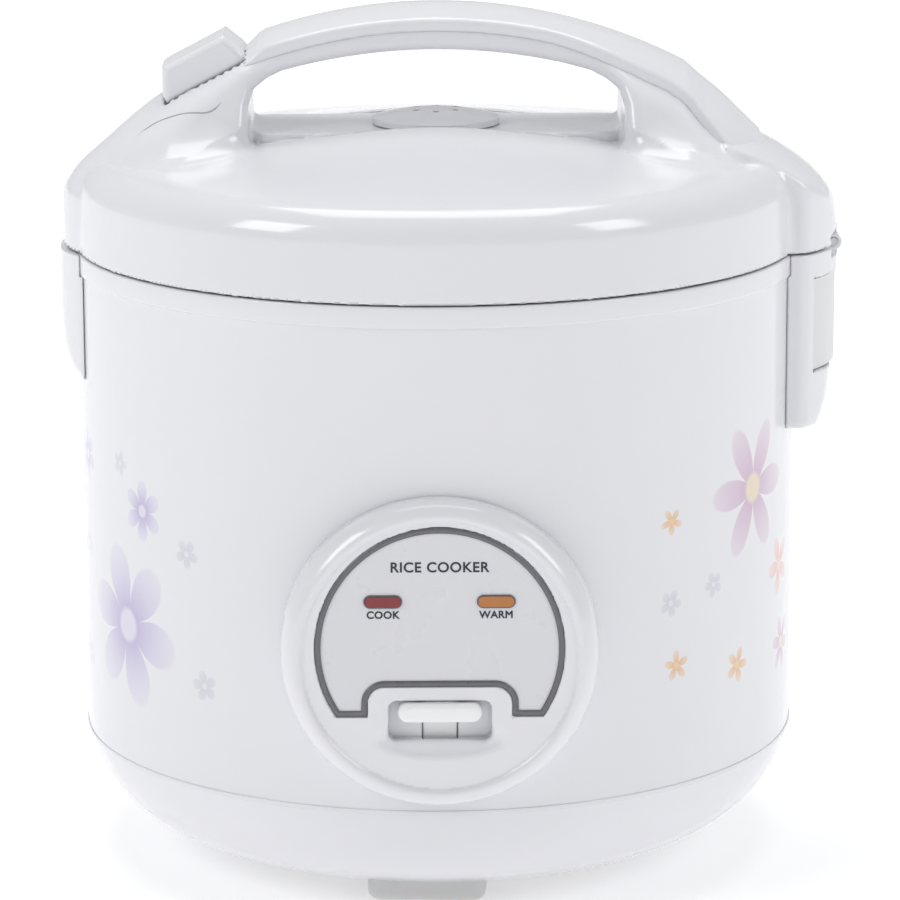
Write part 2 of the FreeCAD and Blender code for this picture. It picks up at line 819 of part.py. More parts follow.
def lens(label, side):
    body = new_body(label)
    sketch = new_sketch(body, "XY", d.label_seat)
    stadium(sketch, d.lens_place * side, d.lens_high, d.lens_long, d.lens_tall)
    pad(body, sketch, 2.3)
    finish(body, label, 0, 0, d.panel_mid, FACING_FRONT)


def lamp_board():
    board = block("board", (-26, 6, 117.4), (26, 22, 119))
    holes = [rod(f"board_hole_{x}", 1.4, 9, x, y, 112) for x, y in panel_screw_places()]
    finish(cut("lamp_board_cut", board, *holes), "lamp_board", 0, 0, d.panel_mid, FACING_FRONT)


def indicator_lamps():
    lamps = [rod(f"lamp_{side}", 2.4, 11, d.lens_place * side, d.lens_high, 119) for side in (-1, 1)]
    finish(group("lamp_group", *lamps), "indicator_lamps", 0, 0, d.panel_mid, FACING_FRONT)


def panel_screw_places():
    return [(-23, 9.5), (23, 9.5)]


def panel_screws():
    screws = [screw(f"panel_screw_{x}", x, y, 115.8, 14.8, 2.8, 1.4) for x, y in panel_screw_places()]
    finish(group("panel_screw_group", *screws), "panel_screws", 0, 0, d.panel_mid, FACING_FRONT)


# ---------------------------------------------------------------- lid

def button_tool(name, radius, top, bottom):
    """A cylinder along the button's travel, between two heights above its seat."""
    lean = Rotation(Vector(0, 1, 0), d.button_lean.number)
    start = lean.multVec(Vector(0, 0, bottom))
    return rod(name, radius, top - bottom, d.button_x + start.x, 0, d.button_high + start.z, lean)


def lid_cover():
    wall = d.lid_wall
    body = spun("lid_cover_body", [
        (d.rim_radius - wall, d.lid_low),
        (d.rim_radius, d.lid_low),
        (d.rim_radius - 0.6, d.lid_wall_high, d.shoulder_bend),
        (d.lid_shoulder, d.shoulder_high, d.dome_bend),
        (0, d.dome_high),
        (0, d.trough_floor - wall, -2 * d.dome_bend),
        (d.lid_shoulder - 1, d.shoulder_high - wall, -(d.shoulder_bend - wall / 2)),
        (d.rim_radius - 0.6 - wall, d.lid_wall_high),
    ])
    trough = new_sketch(body, "XY", d.trough_floor)
    rectangle(trough, -d.trough_end, d.trough_end, -d.trough_half, d.trough_half)
    pocket(body, trough, 10, up=True)
    vent = new_sketch(body, "XY", d.dome_high)
    circle(vent, d.vent_hole)
    pocket(body, vent, 20, both=True)
    boss = new_sketch(body, "XY", d.liner_high)
    circle(boss, 4.5, 62, 62)
    repeat(body, pad(body, boss, 30), 4)
    pilot = new_sketch(body, "XY", d.liner_high)
    circle(pilot, 1.6, 62, 62)
    repeat(body, pocket(body, pilot, 14, up=True), 4)
    finish(cut("lid_cover_cut", body, button_tool("stem_hole", 3.8, -5, -48)), "lid_cover")


def latch_corner(out):
    """How far out a latch cover's side edge is, given its outermost line."""
    return out - d.latch_bend + root_of(d.latch_bend * d.latch_bend - d.latch_half * d.latch_half)


def handle():
    body = new_body("handle_body")
    side = new_sketch(body, "XZ")
    top_bend = d.grip_bend - d.strip_thick
    slope_x = d.strip_bend_end - 2.5
    outline(side, [
        (-d.lid_latch_out - 3, d.lid_low),
        (d.strip_end, d.lid_low),
        (d.strip_end, 251),
        (103, 261),
        (slope_x, grip_height(top_bend, slope_x), top_bend),
        (d.strip_start, grip_height(top_bend, d.strip_start)),
        (-96, 270),
        (-106, 262.6),
        (-118, 252),
        (-127.5, 244),
        (-d.lid_latch_out - 3, 231.3),
    ])
    pad(body, side, 90, both=True)
    opening = new_sketch(body, "XZ")
    outline(opening, [
        (-65.4, 250),
        (65.4, 250),
        (65.4, 268, 10),
        (58, 277.5, 204),
        (-58, 277.5, 10),
        (-65.4, 268),
    ])
    pocket(body, opening, 100, both=True)
    plan = new_sketch(body, "XY", 200)
    rectangle(plan, -150, 150, -60, 60)
    corner = latch_corner(d.lid_latch_out)
    outline(plan, [
        (-corner, -d.latch_half),
        (-105, -d.latch_half),
        (-62, -d.handle_half),
        (62, -d.handle_half),
        (d.strip_end + 2, -d.hinge_half),
        (d.strip_end + 2, d.hinge_half),
        (62, d.handle_half),
        (-62, d.handle_half),
        (-105, d.latch_half),
        (-corner, d.latch_half, d.latch_bend),
    ])
    pocket(body, plan, 200, up=True)
    lid = new_sketch(body, "XZ")
    outline(lid, lid_section())
    spin(body, lid, "Groove")
    lean = Rotation(Vector(0, 1, 0), d.button_lean.number)
    corner = lean.multVec(Vector(-16.9, 0, -4.8))
    recess = doc.addObject("Part::Box", "button_recess")
    bind(recess, Length=33.6, Width=(d.button_half + 0.4) * 2, Height=30.0)
    place(recess, d.button_x + corner.x, -(d.button_half + 0.4), d.button_high + corner.z, lean)
    seat = button_tool("spring_seat", 6.6, 0, -14.8)
    stem_hole = button_tool("handle_stem_hole", 3.6, 0, -60)
    finish(cut("handle_cut", body, recess, seat, stem_hole), "handle")


def grip_height(bend, x):
    """Height of an arc about the grip's own centre, at a distance x from the middle."""
    return d.handle_top - d.grip_bend + root_of(bend * bend - x * x)


def handle_cover():
    body = new_body("handle_cover")
    side = new_sketch(body, "XZ")
    under = d.grip_bend - d.strip_thick
    slope_x = d.strip_bend_end - 2.5
    outline(side, [
        (d.strip_start, grip_height(under, d.strip_start), -under),
        (slope_x, grip_height(under, slope_x)),
        (103, 261),
        (d.strip_end, 251),
        (d.strip_end, 255.6),
        (106, 263.8),
        (d.strip_bend_end, grip_height(d.grip_bend, d.strip_bend_end), d.grip_bend),
        (d.strip_start + 1, grip_height(d.grip_bend, d.strip_start + 1)),
    ])
    pad(body, side, 2 * d.handle_half, both=True)
    round_edges(body, 3.0, lambda box: abs(abs(box.YMin) - 19) < 0.01 and box.YLength < 0.01
                and box.XLength > 100 and box.ZMax > 301)
    finish(body, "handle_cover")


def hinge_plan(sketch, back):
    """The hinge covers seen from above, with their round outer face."""
    outline(sketch, [
        (back, -d.hinge_half),
        (d.hinge_corner, -d.hinge_half, d.hinge_bend),
        (d.hinge_corner, d.hinge_half),
        (back, d.hinge_half),
    ])


def knuckles(name, spans, web_low, web_high, web_front):
    """Knuckles round the hinge axis, each with a web to the piece that carries it."""
    solids = []
    for index, (low, high) in enumerate(spans):
        eye = rod(f"{name}_{index}", d.knuckle, high - low, d.pivot_out, low, d.pivot_high, ALONG_Y)
        web = block(f"{name}_web_{index}", (d.pivot_out - d.knuckle, low, web_low),
                    (d.pivot_out + web_front, high, web_high))
        solids += [eye, web]
    return solids


def lid_hinge_cover():
    body = new_body("lid_hinge_body")
    plan = new_sketch(body, "XY", d.lid_low)
    hinge_plan(plan, d.strip_end + 0.2)
    pad(body, plan, 45)
    above = new_sketch(body, "XZ")
    outline(above, [(100, 264), (132.5, 243), (141, 234), (160, 210), (160, 280), (100, 280)])
    pocket(body, above, 100, both=True)
    lid = new_sketch(body, "XZ")
    outline(lid, lid_section())
    spin(body, lid, "Groove")
    room = rod("lid_knuckle_room", d.knuckle_room, 40, d.pivot_out, -20, d.pivot_high, ALONG_Y)
    carved = cut("lid_hinge_carved", body, room)
    ears = knuckles("lid_knuckle", [(-10.5, -5.6), (5.6, 10.5)], d.pivot_high, d.pivot_high + 7, 1.8)
    bore = rod("lid_hinge_bore", d.pivot_pin + 0.06, 60, d.pivot_out, -30, d.pivot_high, ALONG_Y)
    finish(cut("lid_hinge_cut", joined("lid_hinge_joined", carved, *ears), bore), "lid_hinge_cover")


def lid_liner():
    body = spun("lid_liner_body", [
        (0, d.liner_low),
        (d.liner_radius - 2, d.liner_low),
        (d.liner_radius - 2, d.liner_low - 2.6),
        (d.liner_radius, d.liner_low - 2.6),
        (d.liner_radius, d.liner_high),
        (0, d.liner_high),
    ])
    vent = new_sketch(body, "XY", d.liner_high)
    circle(vent, 2.4, 9.5)
    repeat(body, pocket(body, vent, 20, both=True), 6)
    slot = block("liner_slot", (-123, -8, 210), (-111, 8, 224))
    ears = [block(f"hook_ear_{index}", (-119.5, y, d.liner_low), (-109, y + 2.4, 236))
            for index, y in enumerate((-9.2, 6.8))]
    post = rod("knob_post", 3.5, 8.6, 0, 0, d.liner_low - 8.2)
    bore = rod("ear_bore", 1.5, 30, d.hook_x, -15, d.hook_high, ALONG_Y)
    holes = [rod(f"lid_screw_hole_{index}", 1.6, 20, x, y, 210)
             for index, (x, y) in enumerate(lid_screw_places())]
    plate = cut("liner_plate", body, slot, *holes)
    finish(cut("lid_liner_cut", joined("liner_joined", plate, post, *ears), bore), "lid_liner")


def lid_screw_places():
    return [(x, y) for x in (-62, 62) for y in (-62, 62)]


def lid_screws():
    screws = [screw(f"lid_screw_{index}", x, y, d.liner_low - 0.9, 12, head_high=0.9)
              for index, (x, y) in enumerate(lid_screw_places())]
    finish(group("lid_screw_group", *screws), "lid_screws")


def inner_lid_plate():
    body = spun("inner_lid_plate", [(4.4, 217.2), (98.6, 217.2), (98.6, 218.2), (4.4, 218.2)])
    hole = new_sketch(body, "XY", 217.2)
    circle(hole, 1.8, 30)
    repeat(body, pocket(body, hole, 10, both=True), 8)
    finish(body, "inner_lid_plate")


def seal_gasket():
    body = spun("seal_gasket", [
        (97.2, 214.9),
        (103.8, 214.3),
        (104.6, d.liner_low),
        (97.2, d.liner_low),
        (97.2, 218.2),
        (98.6, 218.2),
        (98.6, 217.2),
        (97.2, 217.2),
    ])
    finish(body, "seal_gasket")


def inner_lid_knob():
    body = spun("inner_lid_knob", [
        (3.5, 212),
        (8, 212),
        (8, 217.2),
        (4.4, 217.2),
        (4.4, 218.2),
        (7, 218.2),
        (7, 219.2),
        (3.5, 219.2),
    ])
    round_edges(body, 1.0, lambda box: at_height(212)(box) and box.XMax > 7.9)
    finish(body, "inner_lid_knob")


def vent_seat():
    body = spun("vent_seat", [
        (14.8, d.liner_high),
        (d.vent_hole, d.liner_high),
        (d.vent_hole, d.trough_floor - 0.8),
        (14.8, d.trough_floor - 0.8),
    ])
    finish(body, "vent_seat")


def vent_cap():
    low = d.trough_floor + 0.3
    rise = d.vent_top - low - 2
    bend = (d.vent_radius * d.vent_radius + rise * rise) / (2 * rise)
    body = spun("vent_cap", [
        (12.8, low - 22),
        (14.4, low - 22),
        (14.4, low),
        (d.vent_radius, low),
        (d.vent_radius, low + 2, bend),
        (0, d.vent_top),
        (0, d.vent_top - 2),
        (12.8, d.vent_top - 2.6),
    ])
    hole = new_sketch(body, "XY", d.vent_top)
    circle(hole, 1.2, 6.93, 4)
    repeat(body, pocket(body, hole, 12, both=True), 6)
    finish(body, "vent_cap")


# ---------------------------------------------------------------- latch and hinge

def release_button():
    body = new_body("release_button_body")
    side = new_sketch(body, "XZ")
    outline(side, [(-16.3, -0.5), (16.3, -0.5), (12.8, 9.3), (-11.5, 9.3)])
    pad(body, side, 2 * d.button_half, both=True)
    round_edges(body, 2.0, lambda box: box.ZMax > 9.2 and box.ZMin > 9.2)
    round_edges(body, 2.0, lambda box: box.ZLength > 5 and abs(box.YMax) > 14)
    stem = rod("button_stem", d.stem_radius, d.stem_long - 0.5, 0, 0, -d.stem_long)
    button = joined("release_button_joined", body, stem)
    lean = Rotation(Vector(0, 1, 0), d.button_lean.number)
    finish(button, "release_button", d.button_x, 0, d.button_high, lean)


def button_spring():
    spring = coil("button_spring", 5.0, 0.5, -14.8, 14.1, 2.8)
    lean = Rotation(Vector(0, 1, 0), d.button_lean.number)
    finish(spring, "button_spring", d.button_x, 0, d.button_high, lean)


def latch_hook():
    body = new_body("latch_hook_body")
    side = new_sketch(body, "XZ")
    outline(side, [
        (-119.5, 202),
        (-113, 202),
        (-113, 204.2),
        (-115.5, 205.4),
        (-115.5, 230.2),
        (-57, 230.6),
        (-57, 234.4),
        (-112, 236),
        (-119.5, 236),
    ])
    pad(body, side, 12, both=True)
    bore = rod("hook_bore", 1.56, 30, d.hook_x, -15, d.hook_high, ALONG_Y)
    finish(cut("latch_hook_cut", body, bore), "latch_hook")


def latch_pin():
    finish(rod("latch_pin", 1.5, 18.4), "latch_pin", d.hook_x, -9.2, d.hook_high, ALONG_Y)


def shell_tool(name, extra=0.05):
    return rod(name, d.shell_radius + extra, d.far, 0, 0, 0)


def latch_housing():
    body = new_body("latch_housing_body")
    side = new_sketch(body, "XZ")
    outline(side, [
        (-d.body_latch_out - 3, d.rim_high),
        (-100, d.rim_high),
        (-100, 172),
        (-128, 172),
        (-d.body_latch_out + 2, 184),
        (-d.body_latch_out, 196),
        (-d.body_latch_out - 3, 213),
    ])
    pad(body, side, 2 * d.latch_half, both=True)
    corner = latch_corner(d.body_latch_out)
    plan = new_sketch(body, "XY", 150)
    rectangle(plan, -160, -80, -60, 60)
    outline(plan, [
        (-corner, -d.latch_half),
        (-90, -d.latch_half),
        (-90, d.latch_half),
        (-corner, d.latch_half, d.latch_bend),
    ])
    pocket(body, plan, 100, up=True)
    rim = rod("latch_rim_tool", d.rim_radius + 0.05, d.far, 0, 0, d.shell_high - 0.05)
    finish(cut("latch_housing_cut", body, shell_tool("latch_shell_tool"), rim), "latch_housing")


def hinge_housing():
    body = new_body("hinge_housing_body")
    plan = new_sketch(body, "XY", 155)
    hinge_plan(plan, 100)
    pad(body, plan, d.rim_high - 155)
    taper = new_sketch(body, "XZ")
    outline(taper, [(136, 150), (160, 150), (160, 216), (142.6, 200), (140.6, 182), (139, 167)])
    pocket(body, taper, 100, both=True)
    seat = new_sketch(body, "XY", d.dew_low - 0.4)
    rectangle(seat, d.dew_back - 0.6, 160, -(d.dew_half + 0.4), d.dew_half + 0.4)
    pocket(body, seat, d.dew_high - d.dew_low + 0.8, up=True)
    room = rod("housing_knuckle_room", d.knuckle_room, 40, d.pivot_out, -20, d.pivot_high, ALONG_Y)
    rim = rod("hinge_rim_tool", d.rim_radius + 0.05, d.far, 0, 0, d.shell_high - 0.05)
    carved = cut("housing_carved", body, shell_tool("hinge_shell_tool"), rim, room)
    ears = knuckles("housing_knuckle", [(-15.4, -10.9), (10.9, 15.4)], d.pivot_high - 7, d.pivot_high, 0.4)
    bore = rod("housing_bore", d.pivot_pin, 60, d.pivot_out, -30, d.pivot_high, ALONG_Y)
    finish(cut("hinge_housing_cut", joined("housing_joined", carved, *ears), bore), "hinge_housing")


def hinge_pin():
    finish(rod("hinge_pin", d.pivot_pin, 31.6), "hinge_pin", d.pivot_out, -15.8, d.pivot_high, ALONG_Y)


def lid_spring():
    spring = coil("lid_spring", 2.35, 0.4, -5.0, 10.0, 1.0)
    finish(spring, "lid_spring", d.pivot_out, 0, d.pivot_high, ALONG_Y)


def dew_collector():
    body = new_body("dew_collector")
    bend = d.hinge_bend
    edge = d.dew_out - bend + root_of(bend * bend - d.dew_half * d.dew_half)

    def plan(sketch, inset):
        outline(sketch, [
            (d.dew_back + inset, -(d.dew_half - inset)),
            (edge - inset, -(d.dew_half - inset), bend - inset),
            (edge - inset, d.dew_half - inset),
            (d.dew_back + inset, d.dew_half - inset),
        ])

    outside = new_sketch(body, "XY", d.dew_low)
    plan(outside, 0)
    pad(body, outside, d.dew_high - d.dew_low)
    inside = new_sketch(body, "XY", d.dew_low + 1.4)
    plan(inside, 1.4)
    pocket(body, inside, d.dew_high - d.dew_low, up=True)
    finish(body, "dew_collector")


# ---------------------------------------------------------------- power inlet

def power_inlet():
    case = block("inlet_case", (-d.inlet_half, 105, d.inlet_low), (d.inlet_half, d.inlet_out, d.inlet_high))
    well = block("inlet_well", (-12, 117, 18), (12, 160, 36))
    holes = [rod(f"pin_hole_{index}", 1.9, 60, x, 90, d.inlet_mid, ALONG_Y)
             for index, x in enumerate(pin_places())]
    finish(cut("power_inlet", case, well, *holes), "power_inlet")


def pin_places():
    return (-7, 0, 7)


def inlet_pins():
    pins = [rod(f"inlet_pin_{index}", 1.9, 31, x, 98, d.inlet_mid, ALONG_Y)
            for index, x in enumerate(pin_places())]
    finish(group("inlet_pin_group", *pins), "inlet_pins")


# ---------------------------------------------------------------- building and writing

BUILDERS = [
    base_pan, feet, bottom_cover, bottom_screws, outer_shell, top_rim, latch_catch,
    inner_casing, heating_plate, heater_terminals, heater_posts, sensor_bracket, sensor_spring, sensor_cap,
    magnet_rod, keep_warm_thermostat, thermal_fuse, inner_pot,
    switch_lever, lever_bracket, lever_pin, micro_switch,
    panel_bezel, panel_trim, panel_plate, lamp_board, indicator_lamps, panel_screws,
    lid_cover, handle, handle_cover, lid_hinge_cover, lid_liner, lid_screws, inner_lid_plate, seal_gasket,
    inner_lid_knob, vent_seat, vent_cap,
    release_button, button_spring, latch_hook, latch_pin, latch_housing, hinge_housing, hinge_pin, lid_spring,
    dew_collector, power_inlet, inlet_pins,
]


def check():
    doc.recompute()
    failed = [item.Name for item in doc.Objects if "Invalid" in item.State or "Error" in item.State]
    if failed:
        raise ValueError(f"features failed: {failed}")
    for piece in pieces:
        if piece.Shape.isNull() or not piece.Shape.isValid() or not piece.Shape.Solids:
            raise ValueError(f"{piece.Label} has no valid solid")


def write():
    os.makedirs("parts", exist_ok=True)
    for piece in pieces:
        piece.Shape.exportStep(f"parts/{piece.Label}.step")


fill_sheet()
for build_piece in BUILDERS:
    build_piece()
lens("cook_lens", -1)
lens("warm_lens", 1)
check()
write()
box = Part.makeCompound([piece.Shape for piece in pieces]).BoundBox
limits = (box.XMin, box.XMax, box.YMin, box.YMax, box.ZMin, box.ZMax)
print(len(pieces), "sub-parts", [round(limit, 2) for limit in limits])
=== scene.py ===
import math

import bpy
import numpy as np
from mathutils import Matrix, Vector


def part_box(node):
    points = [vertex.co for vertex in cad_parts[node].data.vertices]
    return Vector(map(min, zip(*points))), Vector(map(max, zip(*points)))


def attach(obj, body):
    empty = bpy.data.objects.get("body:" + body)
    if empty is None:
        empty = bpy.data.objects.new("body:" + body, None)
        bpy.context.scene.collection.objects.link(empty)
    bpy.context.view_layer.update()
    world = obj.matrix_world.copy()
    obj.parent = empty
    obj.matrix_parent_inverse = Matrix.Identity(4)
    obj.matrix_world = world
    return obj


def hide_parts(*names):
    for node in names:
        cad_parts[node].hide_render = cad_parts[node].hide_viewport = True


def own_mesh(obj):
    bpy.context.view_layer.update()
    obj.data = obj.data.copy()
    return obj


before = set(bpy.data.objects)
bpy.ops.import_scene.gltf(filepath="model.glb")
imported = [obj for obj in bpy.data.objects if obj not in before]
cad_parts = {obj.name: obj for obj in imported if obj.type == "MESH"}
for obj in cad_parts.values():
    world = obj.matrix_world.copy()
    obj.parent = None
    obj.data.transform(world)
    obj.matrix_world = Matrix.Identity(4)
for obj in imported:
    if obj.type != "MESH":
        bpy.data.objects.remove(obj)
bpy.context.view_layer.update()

# Sizes below are in millimetres from the shell's own axis. The frame's X starts this much to the right of it.
AXIS_SHIFT = -4.45
MM = 0.001


# ------------------------------------------------------------------ fields: negative inside a shape

def round_max(a, b, bend):
    """What is inside both, with the edge between them rounded."""
    corner = np.hypot(np.maximum(a + bend, 0), np.maximum(b + bend, 0))
    return np.minimum(np.maximum(a, b), -bend) + corner


def round_min(a, b, bend):
    """What is inside either, with a fillet where they meet."""
    corner = np.hypot(np.maximum(bend - a, 0), np.maximum(bend - b, 0))
    return np.maximum(np.minimum(a, b), bend) - corner


def eased(place, knots):
    """A value that eases from each (place, value) knot to the next."""
    result = np.full(np.shape(place), float(knots[0][1]))
    for (start, before), (end, after) in zip(knots, knots[1:]):
        share = np.clip((place - start) / (end - start), 0, 1)
        result = result + (after - before) * share * share * (3 - 2 * share)
    return result


def polygon(x, z, corners):
    """Distance to a closed outline."""
    shape = np.broadcast(x, z).shape
    nearest = np.full(shape, 1e9)
    inside = np.zeros(shape, bool)
    for (ax, az), (bx, bz) in zip(corners, corners[1:] + corners[:1]):
        ex, ez = bx - ax, bz - az
        along = np.clip(((x - ax) * ex + (z - az) * ez) / (ex * ex + ez * ez), 0, 1)
        nearest = np.minimum(nearest, (x - ax - along * ex) ** 2 + (z - az - along * ez) ** 2)
        if az != bz:
            inside ^= ((az > z) != (bz > z)) & (x < ax + (z - az) / ez * ex)
    return np.where(inside, -1.0, 1.0) * np.sqrt(nearest)


def arc(radius, centre_z, start, end, count):
    """Points of a circle centred on the axis, between two distances from it."""
    return [(x, centre_z + math.sqrt(radius ** 2 - x * x)) for x in np.linspace(start, end, count)]


def softened(points, rounds=2):
    """The same open path with its corners cut."""
    for _ in range(rounds):
        inner = []
        for (ax, az), (bx, bz) in zip(points, points[1:]):
            inner += [(0.75 * ax + 0.25 * bx, 0.75 * az + 0.25 * bz), (0.25 * ax + 0.75 * bx, 0.25 * az + 0.75 * bz)]
        points = [points[0]] + inner[1:-1] + [points[-1]]
    return points


def slab(place, low, high):
    """Between two parallel planes."""
    return np.maximum(low - place, place - high)


def tilted(x, z, middle_x, middle_z, lean):
    """Coordinates across and along an axis that leans in the XZ plane."""
    dx, dz = x - middle_x, z - middle_z
    return dx * math.cos(lean) - dz * math.sin(lean), dx * math.sin(lean) + dz * math.cos(lean)


# ------------------------------------------------------------------ meshes

def slope(field, points, reach):
    """Gradient of a field at each point."""
    columns = []
    for axis in range(3):
        shift = np.zeros(3)
        shift[axis] = reach
        columns.append(field(*(points + shift).T) - field(*(points - shift).T))
    return np.stack(columns, 1) / (2 * reach)


def surface(name, field, low, high, step, smooth=0.25):
    """A closed mesh where the field is zero: one point in each cell that it passes through, pulled onto it."""
    axes = [np.arange(a, b + step, step) for a, b in zip(low, high)]
    grid = np.meshgrid(*axes, indexing="ij", sparse=True)
    size = tuple(len(a) for a in axes)
    values = np.broadcast_to(field(*grid), size)
    inside = values < 0
    places, cells, quads = [], [], []
    for axis in range(3):
        others = [a for a in range(3) if a != axis]
        near = [slice(None)] * 3
        away = [slice(None)] * 3
        near[axis], away[axis] = slice(0, -1), slice(1, None)
        near, away = tuple(near), tuple(away)
        index = np.argwhere(inside[near] != inside[away])
        start, end = values[near][tuple(index.T)], values[away][tuple(index.T)]
        place = index.astype(float)
        place[:, axis] += start / (start - end)
        ring = []
        for back in ((0, 0), (1, 0), (1, 1), (0, 1)):
            cell = index.copy()
            cell[:, others[0]] -= back[0]
            cell[:, others[1]] -= back[1]
            ring.append(np.ravel_multi_index(tuple(cell.T), size))
        flip = (start < 0) != (axis == 1)
        quad = np.stack(ring, 1)
        quad[flip] = quad[flip][:, ::-1]
        quads.append(quad)
        for cell in ring:
            cells.append(cell)
            places.append(place)
    cells = np.concatenate(cells)
    places = np.concatenate(places)
    quads = np.concatenate(quads)
    used, slot = np.unique(cells, return_inverse=True)
    count = np.bincount(slot)
    points = np.stack([np.bincount(slot, places[:, a]) / count for a in range(3)], 1) * step + np.array(low)
    faces = np.searchsorted(used, quads)[:, ::-1]
    for _ in range(4):
        gradient = slope(field, points, 0.05)
        length = np.maximum((gradient ** 2).sum(1), 0.05)
        move = gradient * (field(*points.T) / length)[:, None]
        points -= np.clip(move, -step / 2, step / 2)
    normals = slope(field, points, smooth)
    return solid(name, points, faces, normals)


def solid(name, points, faces, normals=None):
    """A mesh object from points in millimetres and quads."""
    mesh = bpy.data.meshes.new(name)
    placed = (np.asarray(points, float) + (AXIS_SHIFT, 0, 0)) * MM
    faces = np.asarray(faces, np.int32)
    mesh.vertices.add(len(placed))
    mesh.vertices.foreach_set("co", placed.astype(np.float32).ravel())
    mesh.loops.add(faces.size)
    mesh.loops.foreach_set("vertex_index", faces.ravel())
    mesh.polygons.add(len(faces))
    mesh.polygons.foreach_set("loop_start", np.arange(0, faces.size, faces.shape[1], dtype=np.int32))
    mesh.polygons.foreach_set("loop_total", np.full(len(faces), faces.shape[1], np.int32))
    mesh.update(calc_edges=True)
    mesh.validate()
    mesh.shade_smooth()
    if normals is not None:
        length = np.maximum(np.linalg.norm(normals, axis=1), 1e-9)[:, None]
        mesh.normals_split_custom_set_from_vertices((normals / length).tolist())
    thing = bpy.data.objects.new(name, mesh)
    bpy.context.scene.collection.objects.link(thing)
    return thing


def lathe(name, profile, around=256):
    """A closed profile of (radius, height) points turned about the shell's axis."""
    profile = np.array(profile, float)
    turn = np.linspace(0, 2 * math.pi, around, endpoint=False)
    points = np.stack([
        np.outer(np.cos(turn), profile[:, 0]),
        np.outer(np.sin(turn), profile[:, 0]),
        np.outer(np.ones(around), profile[:, 1]),
    ], 2).reshape(-1, 3)
    steps = len(profile)
    row, column = np.meshgrid(np.arange(around), np.arange(steps), indexing="ij")
    below, beside = (row + 1) % around, (column + 1) % steps
    faces = np.stack([row * steps + column, below * steps + column, below * steps + beside, row * steps + beside], 2)
    return solid(name, points, faces.reshape(-1, 4)[:, ::-1])


# ------------------------------------------------------------------ materials

def new_material(name, colour, roughness, **sockets):
    """A principled material with its uniform values set straight on the shader."""
    material = bpy.data.materials.new(name)
    material.use_nodes = True
    shader = material.node_tree.nodes["Principled BSDF"]
    shader.inputs["Base Color"].default_value = (*colour, 1)
    shader.inputs["Roughness"].default_value = roughness
    for socket, value in sockets.items():
        shader.inputs[socket.replace("_", " ")].default_value = value
    return material


class Nodes:
    """Short ways to add nodes to a material's tree or to a node group."""

    def __init__(self, tree):
        self.tree = tree
        self.shader = tree.nodes.get("Principled BSDF")
        if self.shader:
            self.place = self.add("ShaderNodeTexCoord").outputs["Object"]

    def add(self, kind, **values):
        node = self.tree.nodes.new(kind)
        for name, value in values.items():
            setattr(node, name, value)
        return node

    def join(self, source, target):
        if isinstance(source, (int, float, tuple)):
            target.default_value = source
        else:
            self.tree.links.new(source, target)

    def math(self, operation, a, b=0.0, c=0.0, clamp=False):
        node = self.add("ShaderNodeMath", operation=operation, use_clamp=clamp)
        for source, target in zip((a, b, c), node.inputs):
            self.join(source, target)
        return node.outputs[0]

    def scaled(self, x, y, z):
        node = self.add("ShaderNodeMapping")
        self.join(self.place, node.inputs["Vector"])
        node.inputs["Scale"].default_value = (x, y, z)
        return node.outputs[0]

    def noise(self, scale, detail=3.0, rough=0.5, where=None):
        node = self.add("ShaderNodeTexNoise")
        self.join(where or self.place, node.inputs["Vector"])
        node.inputs["Scale"].default_value = scale
        node.inputs["Detail"].default_value = detail
        node.inputs["Roughness"].default_value = rough
        return node.outputs["Fac"]

    def spread(self, value, low, high):
        """Stretches the part of a noise that really occurs to a range of values."""
        node = self.add("ShaderNodeMapRange")
        self.join(value, node.inputs["Value"])
        node.inputs["From Min"].default_value = 0.3
        node.inputs["From Max"].default_value = 0.7
        node.inputs["To Min"].default_value = low
        node.inputs["To Max"].default_value = high
        return node.outputs["Result"]

    def mix(self, share, a, b):
        node = self.add("ShaderNodeMix", data_type="RGBA")
        for source, target in ((share, node.inputs[0]), (a, node.inputs[6]), (b, node.inputs[7])):
            self.join(source, target)
        return node.outputs[2]

    def bump(self, height, strength, distance):
        node = self.add("ShaderNodeBump")
        node.inputs["Strength"].default_value = strength
        node.inputs["Distance"].default_value = distance
        self.join(height, node.inputs["Height"])
        self.join(node.outputs[0], self.shader.inputs["Normal"])

    def paint(self, colour):
        self.join(colour, self.shader.inputs["Base Color"])

    def polish(self, roughness):
        self.join(roughness, self.shader.inputs["Roughness"])


def tint(colour, share):
    """The colour made lighter or darker, with its alpha."""
    return tuple(min(1.0, part * share) for part in colour) + (1.0,)


def moulded(name, colour, roughness, grain=0.0, **sockets):
    """Injection-moulded plastic: a faint flow mottling, uneven gloss and a light orange peel."""
    material = new_material(name, colour, roughness, **sockets)
    nodes = Nodes(material.node_tree)
    flow = nodes.noise(14, 4, 0.55)
    nodes.paint(nodes.mix(flow, tint(colour, 0.993), tint(colour, 1.007)))
    nodes.polish(nodes.spread(nodes.noise(60, 3), roughness * 0.8, roughness * 1.25))
    peel = nodes.noise(220, 2)
    if grain:
        peel = nodes.math("ADD", peel, nodes.math("MULTIPLY", nodes.noise(2600, 2), grain))
    nodes.bump(peel, 0.05 + 0.25 * min(grain, 1.0), 0.0002)
    return material


def metal(name, colour, roughness, stretch, **sockets):
    """Metal with fine drawn or turned lines and slight staining."""
    material = new_material(name, colour, roughness, Metallic=1.0, **sockets)
    nodes = Nodes(material.node_tree)
    lines = nodes.noise(900, 3, 0.6, nodes.scaled(*stretch))
    stain = nodes.noise(30, 4, 0.6)
    nodes.paint(nodes.mix(stain, tint(colour, 0.9), tint(colour, 1.06)))
    nodes.polish(nodes.spread(lines, roughness * 0.7, roughness * 1.4))
    nodes.bump(lines, 0.12, 0.0001)
    return material


